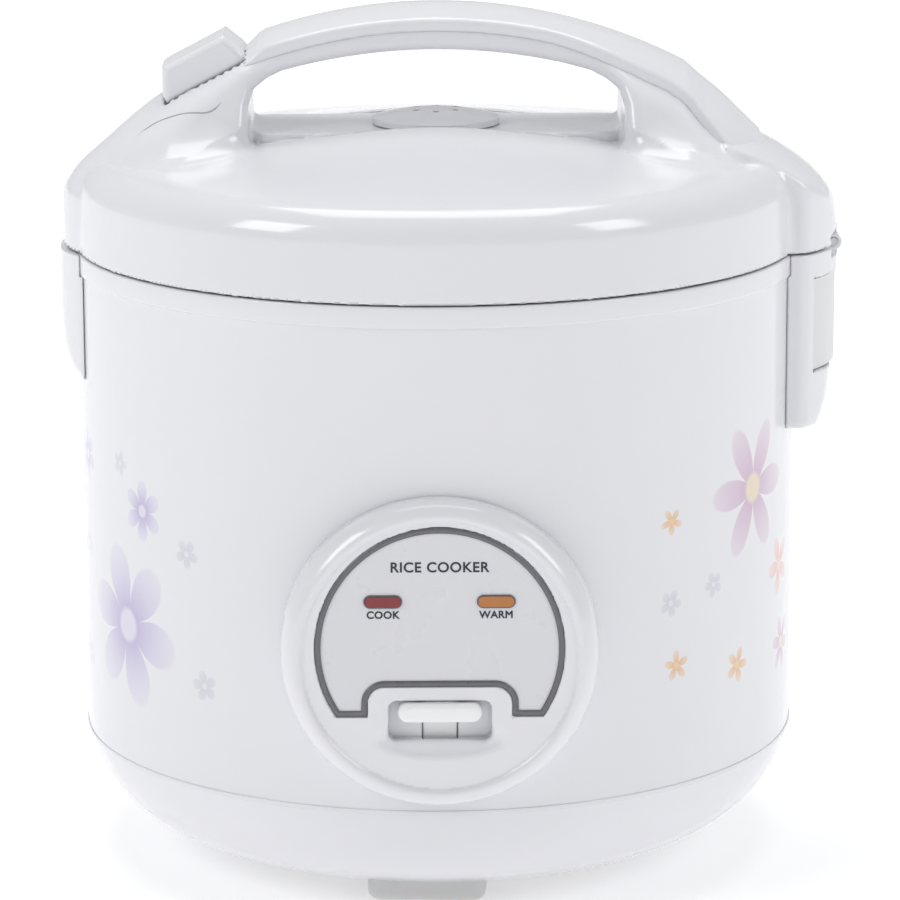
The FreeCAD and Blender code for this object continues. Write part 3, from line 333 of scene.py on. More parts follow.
WHITE = (0.80, 0.80, 0.83)
GREY = (0.15, 0.15, 0.165)
white = moulded("white_plastic", WHITE, 0.16, Coat_Weight=0.25, Coat_Roughness=0.06)
bright = moulded("lever_white", (0.92, 0.92, 0.93), 0.2)
white_inside = moulded("white_plastic_inside", (0.74, 0.74, 0.75), 0.32, 0.25)
white_satin = moulded("white_satin", (0.73, 0.73, 0.76), 0.3, 0.05)
black = moulded("black_plastic", (0.025, 0.025, 0.028), 0.35, 0.5)
grey = moulded("grey_trim", GREY, 0.28, 0.2)
# Grey for the painted shadow in the gap under the latch cover's parting line; both parts are white.
painted_seam_shadow = moulded("painted_seam_shadow", (0.40, 0.40, 0.42), 0.4)
red = moulded("red_lens", (0.30, 0.012, 0.018), 0.16, Transmission_Weight=0.25, Coat_Weight=0.5)
amber = moulded("amber_lens", (0.62, 0.22, 0.035), 0.16, Transmission_Weight=0.25, Coat_Weight=0.5)
clear = moulded("lamp_glass", (0.85, 0.82, 0.78), 0.08, Transmission_Weight=0.85)
silicone = moulded("silicone", (0.74, 0.74, 0.73), 0.5, 0.4, Subsurface_Weight=0.15, Subsurface_Scale=0.004)
aluminium = metal("aluminium", (0.72, 0.72, 0.73), 0.3, (1, 1, 0.1))
steel = metal("plated_steel", (0.55, 0.56, 0.58), 0.3, (1, 1, 1))
spring = metal("spring_steel", (0.42, 0.42, 0.43), 0.26, (1, 1, 6))
iron = metal("magnet_iron", (0.16, 0.16, 0.17), 0.45, (1, 1, 1))
brass = metal("brass", (0.72, 0.5, 0.2), 0.26, (1, 0.2, 1))


def coated_pot():
    """Dark non-stick coating with fine pale speckles."""
    colour = (0.055, 0.056, 0.060)
    material = new_material("coated_aluminium", colour, 0.38)
    nodes = Nodes(material.node_tree)
    cells = nodes.add("ShaderNodeTexVoronoi")
    nodes.join(nodes.place, cells.inputs["Vector"])
    cells.inputs["Scale"].default_value = 420
    speck = nodes.math("LESS_THAN", cells.outputs["Distance"], 0.16)
    nodes.paint(nodes.mix(speck, tint(colour, 1.0), (0.22, 0.22, 0.225, 1)))
    nodes.polish(nodes.spread(nodes.noise(90, 3), 0.3, 0.46))
    nodes.bump(nodes.noise(700, 3), 0.15, 0.0002)
    return material


def circuit():
    """Brown paper board with a pale mask pattern."""
    material = new_material("circuit_board", (0.32, 0.2, 0.09), 0.5)
    nodes = Nodes(material.node_tree)
    weave = nodes.noise(500, 3, 0.6, nodes.scaled(1, 1, 0.3))
    nodes.paint(nodes.mix(weave, (0.26, 0.15, 0.06, 1), (0.4, 0.27, 0.13, 1)))
    nodes.bump(weave, 0.2, 0.0002)
    return material


pot_coat = coated_pot()
board = circuit()


# ------------------------------------------------------------------ the printed shell

SHELL_RADIUS = 127.2
EYE_SHARE = 0.24
EDGE_SHARPNESS = 14.0
# Petal tip, petal root and eye of each kind of flower, then how narrow its petals are.
LILAC = ((0.69, 0.67, 0.79), (0.50, 0.44, 0.67), (0.71, 0.69, 0.79), 0.5)
MIST = ((0.69, 0.69, 0.74), (0.66, 0.66, 0.73), (0.78, 0.78, 0.81), 0.5)
PINK = ((0.70, 0.58, 0.68), (0.62, 0.44, 0.60), (0.79, 0.68, 0.50), 1.0)
CORAL = ((0.80, 0.60, 0.57), (0.80, 0.48, 0.44), (0.80, 0.66, 0.50), 1.1)
ORANGE = ((0.82, 0.60, 0.42), (0.80, 0.50, 0.29), (0.80, 0.62, 0.36), 1.0)
# Degrees round from the front, height, radius, degrees turned, petals and kind.
FLOWERS = [
    (-58.1, 92.8, 29.0, 12, 6, LILAC),
    (-53.1, 135.5, 11.0, 30, 6, LILAC),
    (-59.7, 149.6, 4.8, 0, 5, MIST),
    (-42.4, 124.6, 5.4, 15, 5, MIST),
    (-39.0, 79.4, 5.6, 40, 5, MIST),
    (-75.7, 146.0, 10.0, 20, 6, LILAC),
    (-76.0, 113.0, 5.4, 5, 5, MIST),
    (-77.2, 73.0, 6.4, 30, 5, MIST),
    (-97.0, 120.0, 17.0, 25, 6, LILAC),
    (58.7, 140.3, 25.5, 0, 6, PINK),
    (70.5, 107.0, 11.5, 30, 5, CORAL),
    (72.5, 77.5, 11.0, 10, 6, PINK),
    (38.3, 136.6, 4.9, 20, 5, ORANGE),
    (39.5, 85.6, 5.6, 50, 5, ORANGE),
    (54.3, 79.2, 6.6, 5, 5, ORANGE),
    (47.7, 110.9, 4.8, 30, 5, MIST),
    (38.2, 108.0, 4.9, 10, 5, MIST),
    (96.0, 130.0, 16.0, 20, 6, PINK),
]


def flower_group():
    """A node group that paints one flower over a colour: petals, paler towards the middle, and a round eye."""
    tree = bpy.data.node_groups.new("flower", "ShaderNodeTree")
    colours = ("Under", "Outer", "Inner", "Eye")
    for name in ("Around", "Height", "Middle", "Level", "Size", "Turn", "Petals", "Narrow") + colours:
        kind = "NodeSocketColor" if name in colours else "NodeSocketFloat"
        tree.interface.new_socket(name=name, in_out="INPUT", socket_type=kind)
    tree.interface.new_socket(name="Colour", in_out="OUTPUT", socket_type="NodeSocketColor")
    given = tree.nodes.new("NodeGroupInput").outputs
    result = tree.nodes.new("NodeGroupOutput").inputs
    nodes = Nodes(tree)
    calc, mix = nodes.math, nodes.mix

    across = calc("DIVIDE", calc("SUBTRACT", given["Around"], given["Middle"]), given["Size"])
    up = calc("DIVIDE", calc("SUBTRACT", given["Height"], given["Level"]), given["Size"])
    far = calc("SQRT", calc("ADD", calc("MULTIPLY", across, across), calc("MULTIPLY", up, up)))
    bearing = calc("ADD", calc("ARCTAN2", up, across), given["Turn"])
    wave = calc("ABSOLUTE", calc("COSINE", calc("MULTIPLY", bearing, calc("MULTIPLY", given["Petals"], 0.5))))
    reach = calc("MULTIPLY_ADD", calc("POWER", wave, given["Narrow"]), 1.02 - EYE_SHARE, EYE_SHARE)
    edge = calc("MULTIPLY", calc("SUBTRACT", reach, far), EDGE_SHARPNESS, clamp=True)
    middle = calc("MULTIPLY", calc("SUBTRACT", EYE_SHARE, far), EDGE_SHARPNESS, clamp=True)
    root = calc("POWER", calc("MULTIPLY_ADD", far, -1.3, 1.3, clamp=True), 1.8)
    petal = mix(root, given["Outer"], given["Inner"])
    flower = mix(middle, petal, given["Eye"])
    strength = calc("MULTIPLY", edge, calc("MULTIPLY_ADD", calc("POWER", far, 3.0), -0.45, 0.95))
    tree.links.new(mix(strength, given["Under"], flower), result["Colour"])
    return tree


def printed_shell():
    """White lacquered steel with a printed border of flowers on both sides of the panel."""
    material = new_material("printed_steel", WHITE, 0.13, Coat_Weight=0.4, Coat_Roughness=0.04)
    nodes = Nodes(material.node_tree)
    split = nodes.add("ShaderNodeSeparateXYZ")
    nodes.join(nodes.place, split.inputs[0])
    x = nodes.math("SUBTRACT", split.outputs[0], AXIS_SHIFT * MM)
    angle = nodes.math("ARCTAN2", x, nodes.math("MULTIPLY", split.outputs[1], -1.0))
    around = nodes.math("MULTIPLY", angle, SHELL_RADIUS)
    height = nodes.math("MULTIPLY", split.outputs[2], 1 / MM)
    lacquer = nodes.noise(18, 3)
    colour = nodes.mix(lacquer, tint(WHITE, 0.99), tint(WHITE, 1.01))
    group = flower_group()
    for side, level, size, turn, petals, shades in FLOWERS:
        node = nodes.add("ShaderNodeGroup", node_tree=group)
        values = {"Middle": math.radians(side) * SHELL_RADIUS, "Level": level, "Size": size,
                  "Turn": math.radians(turn), "Petals": petals, "Narrow": shades[3]}
        for name, value in values.items():
            node.inputs[name].default_value = value
        for name, shade in zip(("Outer", "Inner", "Eye"), shades):
            node.inputs[name].default_value = (*shade, 1)
        for name, source in (("Under", colour), ("Around", around), ("Height", height)):
            nodes.join(source, node.inputs[name])
        colour = node.outputs[0]
    nodes.paint(colour)
    nodes.polish(nodes.spread(nodes.noise(70, 3), 0.1, 0.17))
    nodes.bump(nodes.noise(160, 2), 0.03, 0.0002)
    return material


shell_print = printed_shell()

FINISHES = {
    white: ["top_rim", "base_pan", "panel_bezel", "switch_lever", "vent_cap", "release_button", "lid_cover",
            "handle", "handle_cover", "lid_hinge_cover", "latch_housing", "hinge_housing"],
    white_inside: ["bottom_cover", "lid_liner", "dew_collector"],
    white_satin: ["panel_plate"],
    shell_print: ["outer_shell"],
    black: ["micro_switch", "power_inlet", "latch_hook"],
    grey: ["panel_trim"],
    red: ["cook_lens"],
    amber: ["warm_lens"],
    clear: ["indicator_lamps"],
    silicone: ["feet", "seal_gasket", "vent_seat", "inner_lid_knob"],
    aluminium: ["heating_plate", "inner_lid_plate", "sensor_cap", "inner_casing"],
    steel: ["bottom_screws", "heater_posts", "sensor_bracket", "lever_bracket", "lever_pin", "panel_screws",
            "lid_screws", "latch_pin", "hinge_pin", "latch_catch", "keep_warm_thermostat"],
    spring: ["sensor_spring", "button_spring", "lid_spring"],
    iron: ["magnet_rod"],
    brass: ["heater_terminals", "inlet_pins", "thermal_fuse"],
    pot_coat: ["inner_pot"],
    board: ["lamp_board"],
}
for material, names in FINISHES.items():
    for name in names:
        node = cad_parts[name]
        node.data.materials.clear()
        node.data.materials.append(material)


# ------------------------------------------------------------------ lid and handle

LID_LOW = 216.6
LID_RADIUS = 128.0
WALL = 3.6
SHOULDER_BEND = 10.0
# Sections through the lid. The dome's and the widths' points are (distance, value); side views are (X, Z).
DOME = [(0, 262.6), (24, 260.2), (50, 256.6), (70, 253.6), (90, 251.0), (105, 249.3), (118, 247.6)]
DOME_CURVE = np.polyfit(*zip(*DOME), 4)
TROUGH = (65.4, 23.5, 258.0)
VOID_TOP = 254.0
CROWN = 47.0
GRIP_TOP = 191.0
GRIP_CENTRE = 110.2
STRIP = 4.0
EDGE_BEND = 2.2
GRIP_WIDTH = [(-112, 30), (-62, 19.5), (36, 19.5), (78, 24.5), (112, 36)]
FLARE = [(-112, 0.12), (-92, 0.45), (-72, 0.45), (-54, 0.12), (54, 0.12), (72, 0.5), (96, 0.5), (112, 0.15)]
FILLET = [(-116, 0.8), (-100, 13), (-80, 13), (-60, 2), (60, 2), (80, 13), (100, 13), (114, 3)]
VENT_HOLE = (17.1, 266)
# The hinge pin's X and Z, the eyes round it, and the room cut round it in the lid and in the body's block.
PIVOT = (140.0, 217.3)
KNUCKLE = 2.9
PIN_BORE = 1.55
LID_ROOM = 3.3
BLOCK_ROOM = 4.5
ROOM_HALF = 20.0
# The button's middle and lean. Then in its own axes: the radius of the stem and of its hole, the spring seat's radius
# and depth, and the recess from left to right, its half width and its depth.
BUTTON = (-81.5, 277.5, math.radians(-27.7))
STEM = 3.0
STEM_HOLE = 3.8
SPRING_SEAT = (6.6, -14.8)
RECESS = (-16.9, 16.7, 15.4, -8.6)
HINGE_HALF = 36.0
HINGE_BEND = 52.5
HINGE_OUT = 143.0
LATCH_HALF = 30.0
LATCH_BEND = 52.5
LATCH_OUT = 132.6

GRIP_SIDE = (
    softened([(-132.6, 236), (-127.5, 244), (-118, 252), (-106, 262.6), (-96, 270), (-67.5, 284.8)], 2)
    + arc(GRIP_TOP - STRIP, GRIP_CENTRE, -64, 86, 31)
    + [(103, 261), (115.2, 251), (115.2, 205), (-132.6, 205)]
)
STRIP_SIDE = (
    [(-68, 284.4), (-62.5, 290.0)]
    + arc(GRIP_TOP, GRIP_CENTRE, -60, 88, 31)
    + softened([(94, 274.4), (101, 268.8), (108, 261.9), (114.6, 255.4)], 2)
    + [(114.6, 250.6), (103, 260.4)]
    + arc(GRIP_TOP - STRIP - 0.6, GRIP_CENTRE, 85.6, -64, 31)
)
OPENING = (
    [(-65.4, 240), (-65.4, 268), (-63.6, 273.2), (-59.5, 276.4)]
    + arc(204, 82.4, -54, 54, 21)
    + [(59.5, 276.4), (63.6, 273.2), (65.4, 268), (65.4, 240)]
)
HINGE_SIDE = (
    softened([(100, 258.5), (116, 253.4), (132.5, 243), (141, 234), (143, 216)], 2)
    + [(143, 205), (100, 205)]
)


def crown(y):
    """How far a crowned top falls away from its middle line."""
    return CROWN - np.sqrt(CROWN ** 2 - np.minimum(np.abs(y), 40) ** 2)


def wall_radius(z):
    """The lid's wall, which draws in by a millimetre towards its shoulder."""
    return LID_RADIUS - np.clip((z - LID_LOW) / 22, 0, 1)


def dome_field(x, y, z, inset=0.0):
    radius = np.hypot(x, y)
    top = np.polyval(DOME_CURVE, radius) - inset
    return round_max(z - top, radius - wall_radius(z) + inset, SHOULDER_BEND - inset)


def hinge_plan(x, y):
    return round_max(np.hypot(x - HINGE_OUT + HINGE_BEND, y) - HINGE_BEND, np.abs(y) - HINGE_HALF, 2.0)


def latch_plan(x, y, out):
    """The latch covers seen from above, with their round outer face."""
    return round_max(np.hypot(x + out - LATCH_BEND, y) - LATCH_BEND, np.abs(y) - LATCH_HALF, 1.0)


def knuckle_space(x, y, z, room):
    """Round the hinge pin, for the eyes and the spring to turn in."""
    return np.maximum(np.hypot(x - PIVOT[0], z - PIVOT[1]) - room, np.abs(y) - ROOM_HALF)


def button_space(x, y, z):
    """The stem's hole, the spring's seat and the recess that the button slides in."""
    across, along = tilted(x, z, *BUTTON)
    radius = np.hypot(across, y)
    stem = np.maximum(radius - STEM_HOLE, slab(along, -60, 2))
    seat = np.maximum(radius - SPRING_SEAT[0], slab(along, SPRING_SEAT[1], 2))
    left, right, half, depth = RECESS
    recess = np.maximum(np.maximum(slab(across, left, right), np.abs(y) - half), slab(along, depth, 30))
    return np.minimum(np.minimum(stem, seat), recess)


def lid_field(x, y, z):
    base = dome_field(x, y, z)
    corner = round_max(np.abs(x) - TROUGH[0], np.abs(y) - TROUGH[1], 7)
    base = round_max(base, -np.maximum(corner, TROUGH[2] - z), 1.2)
    base = np.minimum(base, round_max(corner, z - TROUGH[2], 1.0))
    depth = GRIP_CENTRE + np.sqrt((GRIP_TOP - STRIP) ** 2 - np.minimum(np.abs(x), 120) ** 2) - z
    sides = np.abs(y) - eased(x, GRIP_WIDTH) + 0.25 - eased(x, FLARE) * np.clip(depth, 0, 24)
    grip = round_max(polygon(x, z + crown(y), GRIP_SIDE), sides, EDGE_BEND)
    grip = round_max(grip, -polygon(x, z, OPENING), 3.5)
    round_end = np.hypot(x + LATCH_OUT - LATCH_BEND, y) - LATCH_BEND
    grip = round_max(grip, np.where(x < LATCH_BEND - LATCH_OUT, round_end, -LATCH_BEND), 1.5)
    whole = round_min(base, grip, eased(x, FILLET))
    block = round_max(polygon(x, z + crown(y) * 0.25, HINGE_SIDE), hinge_plan(x, y), 2.4)
    whole = round_min(whole, block, 2.2)
    whole = np.maximum(whole, -np.maximum(dome_field(x, y, z, WALL), z - VOID_TOP))
    whole = np.maximum(whole, -np.minimum(button_space(x, y, z), knuckle_space(x, y, z, LID_ROOM)))
    vent = np.maximum(np.hypot(x, y) - VENT_HOLE[0], z - VENT_HOLE[1])
    return np.maximum(np.maximum(whole, -vent), LID_LOW - z)


def strip_field(x, y, z):
    sides = np.abs(y) - eased(x, GRIP_WIDTH)
    return round_max(polygon(x, z + crown(y), STRIP_SIDE), sides, 1.3)


lid_step = 1.45
lid_skin = surface("lid_skin", lid_field, (-136, -131, 213), (147, 131, 297), lid_step)
handle_strip = surface("handle_strip", strip_field, (-71, -39, 228), (118, 39, 304), 1.0)
for piece, nodes in ((lid_skin, ("lid_cover", "handle", "lid_hinge_cover")), (handle_strip, ("handle_cover",))):
    piece.data.materials.append(white)
    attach(piece, "lid")
    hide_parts(*nodes)


# ------------------------------------------------------------------ parting line of the latch cover, with a painted shadow line along it

SEAM = softened([(-74.6, 269.4), (-78.5, 265.9), (-86, 266.2), (-92, 264.5), (-98, 262.0), (-104.5, 257.5)], 2)
SEAM_RADIUS = 0.24


def tube(name, middle, side, radii):
    """A closed round tube along a path, where side is never along the path."""
    along = np.gradient(middle, axis=0)
    along /= np.linalg.norm(along, axis=1)[:, None]
    across = np.cross(along, side)
    across /= np.linalg.norm(across, axis=1)[:, None]
    third = np.cross(along, across)
    turns = np.linspace(0, 2 * math.pi, 8, endpoint=False)
    ring = across[:, None] * np.cos(turns)[None, :, None] + third[:, None] * np.sin(turns)[None, :, None]
    points = middle[:, None] + ring * radii[:, None, None]
    faces = []
    for row in range(len(middle) - 1):
        for column in range(8):
            beside = (column + 1) % 8
            faces.append((row * 8 + column, row * 8 + beside, (row + 1) * 8 + beside, (row + 1) * 8 + column))
    for start in (0, (len(middle) - 1) * 8):
        faces += [(start, start + 1, start + 2, start + 3), (start, start + 3, start + 4, start + 7),
                  (start + 4, start + 5, start + 6, start + 7)]
    return solid(name, points.reshape(-1, 3), faces)


def draw_seam_shadow_line(side):
    """A thin grey line of painted shadow along the parting line on the handle's side, found by walking inwards to its
    surface.
    """
    places = np.array(SEAM)
    depth = np.linspace(60, 5, 2201)
    field = lid_field(places[:, :1], side * depth[None, :], places[:, 1:])
    hit = depth[np.argmax(field < 0, axis=1)]
    middle = np.stack([places[:, 0], side * hit, places[:, 1]], 1)
    radii = np.full(len(places), SEAM_RADIUS)
    radii[[0, -1]] = SEAM_RADIUS / 10
    line = tube("latch_seam_shadow_front" if side < 0 else "latch_seam_shadow_back", middle, (0, side, 0), radii)
    line.data.materials.append(painted_seam_shadow)
    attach(line, "lid")


for side in (-1, 1):
    draw_seam_shadow_line(side)


# ------------------------------------------------------------------ release button

# The cap seen from the side, across and along the button's travel.
BUTTON_SIDE = [
    (-16.1, -3.0), (16.1, -3.0), (16.2, 0), (15.6, 2.5), (12.6, 9.3), (-11.6, 9.3), (-15.2, 2.5), (-16.3, 0),
]
BUTTON_HALF = 15.0
STEM_END = -46.2


def button_field(x, y, z):
    across, along = tilted(x, z, *BUTTON)
    cap = round_max(polygon(across, along + y * y / 300, BUTTON_SIDE), np.abs(y) - BUTTON_HALF, 2.6)
    stem = np.maximum(np.hypot(across, y) - STEM, slab(along, STEM_END, 1))
    return round_min(cap, stem, 0.6)


button = surface("release_button_cap", button_field, (-122, -17, 230), (-58, 17, 296), 0.8)
button.data.materials.append(white)
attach(button, "release_button")
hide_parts("release_button")


# ------------------------------------------------------------------ latch and hinge blocks on the body

SHELL_LOW = 42.0
SHELL_HIGH = 208.7
RIM_HIGH = 216.05
RIM_ROOM = 128.1
LATCH_SIDE = softened([(-134.1, 196), (-133.2, 186), (-130.5, 177), (-124, 171)], 2) + [
    (-110, 171), (-110, 222), (-134.1, 222)]
HINGE_TAPER = softened([(143, 203), (141.6, 190), (140, 176), (138, 162), (134, 154)], 2) + [
    (110, 154), (110, 222), (143, 222)]
# The dew collector's seat: inner face, half width, bottom and top.
DEW = (127.8, 31.0, 174.0, 207.0)


def body_room(x, y, z):
    """Outside the shell and the rim."""
    return np.where(z < SHELL_HIGH, SHELL_RADIUS + 0.05, RIM_ROOM) - np.hypot(x, y)


def latch_field(x, y, z):
    block = round_max(polygon(x, z, LATCH_SIDE), latch_plan(x, y, -LATCH_SIDE[0][0]), 2.0)
    return np.maximum(np.maximum(block, z - RIM_HIGH), body_room(x, y, z))


def hinge_field(x, y, z):
    block = round_max(polygon(x, z, HINGE_TAPER), hinge_plan(x, y), 2.4)
    block = np.maximum(np.maximum(block, z - RIM_HIGH), body_room(x, y, z))
    seat = np.maximum(np.maximum(DEW[0] - x, np.abs(y) - DEW[1]), slab(z, DEW[2], DEW[3]))
    return np.maximum(block, -np.minimum(seat, knuckle_space(x, y, z, BLOCK_ROOM)))


latch_block = surface("latch_block", latch_field, (-137, -33, 168), (-119, 33, 219), 0.9)
hinge_block = surface("hinge_block", hinge_field, (118, -39, 151), (146, 39, 219), 0.9)
for piece, node in ((latch_block, "latch_housing"), (hinge_block, "hinge_housing")):
    piece.data.materials.append(white)
    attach(piece, "cooker_body")
    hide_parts(node)


def knuckle_field(spans, low, high, front):
    """Eyes round the hinge pin, each with a web to its block."""
    def field(x, y, z):
        eye = np.hypot(x - PIVOT[0], z - PIVOT[1]) - KNUCKLE
        web = np.maximum(slab(x, PIVOT[0] - KNUCKLE, PIVOT[0] + front), slab(z, low, high))
        body = round_min(eye, web, 0.4)
        bore = PIN_BORE - np.hypot(x - PIVOT[0], z - PIVOT[1])
        rows = [slab(y, start, end) for start, end in spans]
        return np.maximum(round_max(body, np.minimum(*rows), 0.3), bore)
    return field


lid_eyes = surface("lid_knuckles", knuckle_field([(-10.5, -5.6), (5.6, 10.5)], PIVOT[1], PIVOT[1] + 6, 1.6),
                   (136, -12, 213), (144, 12, 225), 0.45)
body_eyes = surface("housing_knuckles", knuckle_field([(-15.4, -10.9), (10.9, 15.4)], PIVOT[1] - 6, PIVOT[1], 0.4),
                    (136, -17, 210), (144, 17, 221.5), 0.45)
for piece, body in ((lid_eyes, "lid"), (body_eyes, "cooker_body")):
    piece.data.materials.append(white)
    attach(piece, body)


# ------------------------------------------------------------------ rim and hem

def bead(name, low, high, inner, outer, bend):
    """A smooth band round the body with rounded outer edges."""
    turns = np.linspace(0, math.pi / 2, 6)
    lower = [(outer - bend + bend * math.sin(a), low + bend - bend * math.cos(a)) for a in turns]
    upper = [(outer - bend + bend * math.cos(a), high - bend + bend * math.sin(a)) for a in turns]
    band_ring = lathe(name, [(inner, low)] + lower + upper + [(inner, high)], 384)
    band_ring.data.set_sharp_from_angle(angle=math.radians(40))
    band_ring.data.materials.append(white)
    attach(band_ring, "cooker_body")


bead("rim_bead", SHELL_HIGH, RIM_HIGH - 0.02, 127.0, 128.08, 0.7)
bead("shell_hem", SHELL_LOW - 0.1, SHELL_LOW + 1.5, 126.6, 127.55, 0.3)


# ------------------------------------------------------------------ panel

# Radii and outlines are from the label's centre, and depths are distances in front of the axis.
PANEL_MID = 102.0
BEZEL_MID = 99.4
PANEL_RADIUS = 53.1
PANEL_FACE = 135.5
PANEL_CROWN = 137.2
PANEL_BACK = 112.0
BEZEL_RIM = 7.6
BEZEL_WALL = 4.5
HOLLOW_FRONT = 125.5
LABEL_SEAT = 133.0
LABEL_RADIUS = 40.8
LABEL_BASE = -22.4
NOTCH = (25.0, -12.1, 6.6)
TRIM_OUT = 0.85
TRIM_IN = 1.2
WINDOW = (17.2, -32.3, -17.9)
WINDOW_BACK = 128.5
LEVER_SLOT = (-41.5, -18.5)
SLOT_HALF = 6.0
SLOT_FRONT = 129.6
SCOOP = (21.5, 6.4, 3.6)
SCOOP_MID = -31.0
LENS_PLACE = (18.8, 16.3)
LENS_HALF = (6.0, 1.8)


def label_path(grow):
    """The label's outline, a circle with a flat base and a notch, moved outwards by grow."""
    radius, base = LABEL_RADIUS + grow, LABEL_BASE - grow
    half, top, bend = NOTCH[0] - grow, NOTCH[1] - grow, NOTCH[2] - grow
    start = math.asin(base / radius)
    points = [(radius * math.cos(a), radius * math.sin(a)) for a in np.linspace(start, math.pi - start, 73)]
    corner = [(bend * math.sin(a), bend * math.cos(a)) for a in np.linspace(-math.pi / 2, 0, 9)]
    points += [(-half, base)] + [(bend - half + u, top - bend + v) for u, v in corner]
    points += [(half - bend - u, top - bend + v) for u, v in corner[::-1]] + [(half, base)]
    return points


def bezel_field(x, y, z):
    up, out = z - PANEL_MID, -y
    radius = np.hypot(x, z - BEZEL_MID)
    body = round_max(out - PANEL_CROWN, radius - PANEL_RADIUS, 9)
    body = round_max(body, -np.maximum(radius - PANEL_RADIUS + BEZEL_RIM, PANEL_FACE - out), 3.6)
    wide, tall, deep = SCOOP
    scoop = np.sqrt((x / wide) ** 2 + ((up - SCOOP_MID) / tall) ** 2 + ((out - PANEL_FACE - 0.3) / deep) ** 2)
    body = round_max(body, -(scoop - 1) * deep, 0.8)
    hole = round_max(slab(x, -WINDOW[0], WINDOW[0]), slab(up, WINDOW[1], WINDOW[2]), 2.6)
    body = round_max(body, -np.maximum(hole, WINDOW_BACK - out), 1.1)
    slot = np.maximum(np.maximum(slab(up, *LEVER_SLOT), np.abs(x) - SLOT_HALF), out - SLOT_FRONT)
    body = np.maximum(body, -slot)
    seat = np.maximum(polygon(x, up, LABEL_SHAPE), LABEL_SEAT - out)
    body = np.maximum(body, -seat)
    hollow = np.maximum(radius - PANEL_RADIUS + BEZEL_WALL, out - HOLLOW_FRONT)
    body = np.maximum(body, -hollow)
    return np.maximum(np.maximum(body, PANEL_BACK - out), SHELL_RADIUS + 0.05 - np.hypot(x, y))


LABEL_SHAPE = label_path(TRIM_OUT)
bezel = surface("panel_bezel_ring", bezel_field, (-55, -139, 44), (55, -109, 155), 0.85)
bezel.data.materials.append(white)
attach(bezel, "cooker_body")
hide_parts("panel_bezel")


def band(name, outer, inner, back, front):
    """A flat ring on the panel between two outlines with the same number of points."""
    count = len(outer)
    loops = [(outer, back), (outer, front), (inner, front), (inner, back)]
    points = [(u, -out, PANEL_MID + v) for path, out in loops for u, v in path]
    faces = []
    for loop in range(4):
        for index in range(count):
            beside = (index + 1) % count
            a, b = loop * count, (loop + 1) % 4 * count
            faces.append((a + index, a + beside, b + beside, b + index))
    return solid(name, points, faces)


def stadium(middle, half_long, half_tall):
    """An outline with round ends."""
    turns = np.linspace(-math.pi / 2, math.pi / 2, 13)
    ends = [(half_long - half_tall + half_tall * math.cos(a), half_tall * math.sin(a)) for a in turns]
    path = ends + [(-u, -v) for u, v in ends]
    return [(middle[0] + u, middle[1] + v) for u, v in path]


ink = moulded("dark_print", (0.03, 0.03, 0.045), 0.4)
PLATE_FACE = 134.6
LENS_RING = 0.45
CAPITAL_SHARE = 0.69
TYPE_WORD = (3.3, 26.4)
LENS_WORD = (2.4, 10.6)


def on_panel(piece, material):
    """Gives a piece of the panel its material and body."""
    piece.data.materials.append(material)
    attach(piece, "cooker_body")


def lettering(name, words, tall, middle):
    """A printed word on the panel, as a thin mesh."""
    curve = bpy.data.curves.new(name + "_curve", "FONT")
    curve.body = words
    curve.size = tall * MM / CAPITAL_SHARE
    curve.align_x = "CENTER"
    curve.extrude = 0.02 * MM
    curve.bevel_depth = 0.11 * MM
    curve.bevel_resolution = 0
    curve.space_character = 1.08
    holder = bpy.data.objects.new(name + "_curve", curve)
    bpy.context.scene.collection.objects.link(holder)
    bpy.context.view_layer.update()
    mesh = bpy.data.meshes.new_from_object(holder)
    bpy.data.objects.remove(holder)
    mesh.name = name
    stand = Matrix.Rotation(math.pi / 2, 4, "X")
    place = Vector((middle[0] + AXIS_SHIFT, -PLATE_FACE - 0.03, PANEL_MID + middle[1]))
    move = Matrix.Translation(place * MM)
    mesh.transform(move @ stand)
    mesh.materials.clear()
    thing = bpy.data.objects.new(name, mesh)
    bpy.context.scene.collection.objects.link(thing)
    return thing


trim = band("trim_line", label_path(TRIM_OUT - 0.04), label_path(-TRIM_IN), LABEL_SEAT + 0.1, PLATE_FACE + 0.35)
on_panel(trim, grey)
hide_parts("panel_trim")
on_panel(lettering("type_word", "RICE COOKER", TYPE_WORD[0], (0, TYPE_WORD[1])), ink)

for side, words, label in ((-1, "COOK", "cook"), (1, "WARM", "warm")):
    middle = (side * LENS_PLACE[0], LENS_PLACE[1])
    outer = stadium(middle, LENS_HALF[0] + LENS_RING, LENS_HALF[1] + LENS_RING)
    inner = stadium(middle, LENS_HALF[0] - 0.1, LENS_HALF[1] - 0.1)
    on_panel(band(label + "_ring", outer, inner, PLATE_FACE - 0.3, PLATE_FACE + 0.45), grey)
    on_panel(lettering(label + "_word", words, LENS_WORD[0], (middle[0], LENS_WORD[1])), ink)


# ------------------------------------------------------------------ switch lever

# Side views are (Y, Z). The paddle is its middle height, half width and half height.
LEVER_PIVOT = (-48.0, 52.5)
LEVER_BORE = 2.1
LEVER_SIDE = [(-119, 50), (-42, 50), (-42, 55), (-115, 55), (-115, 83.5), (-134, 83.5), (-134, 77), (-119, 77)]
PADDLE = (80.25, 14.0, 3.25)
PADDLE_DEPTH = (-137.2, -130.2)
# The shutter closes the slot behind the paddle: front, back, half width, bottom and top.
SHUTTER = (-127.8, -125.8, 5.86, 66.0, 80.0)


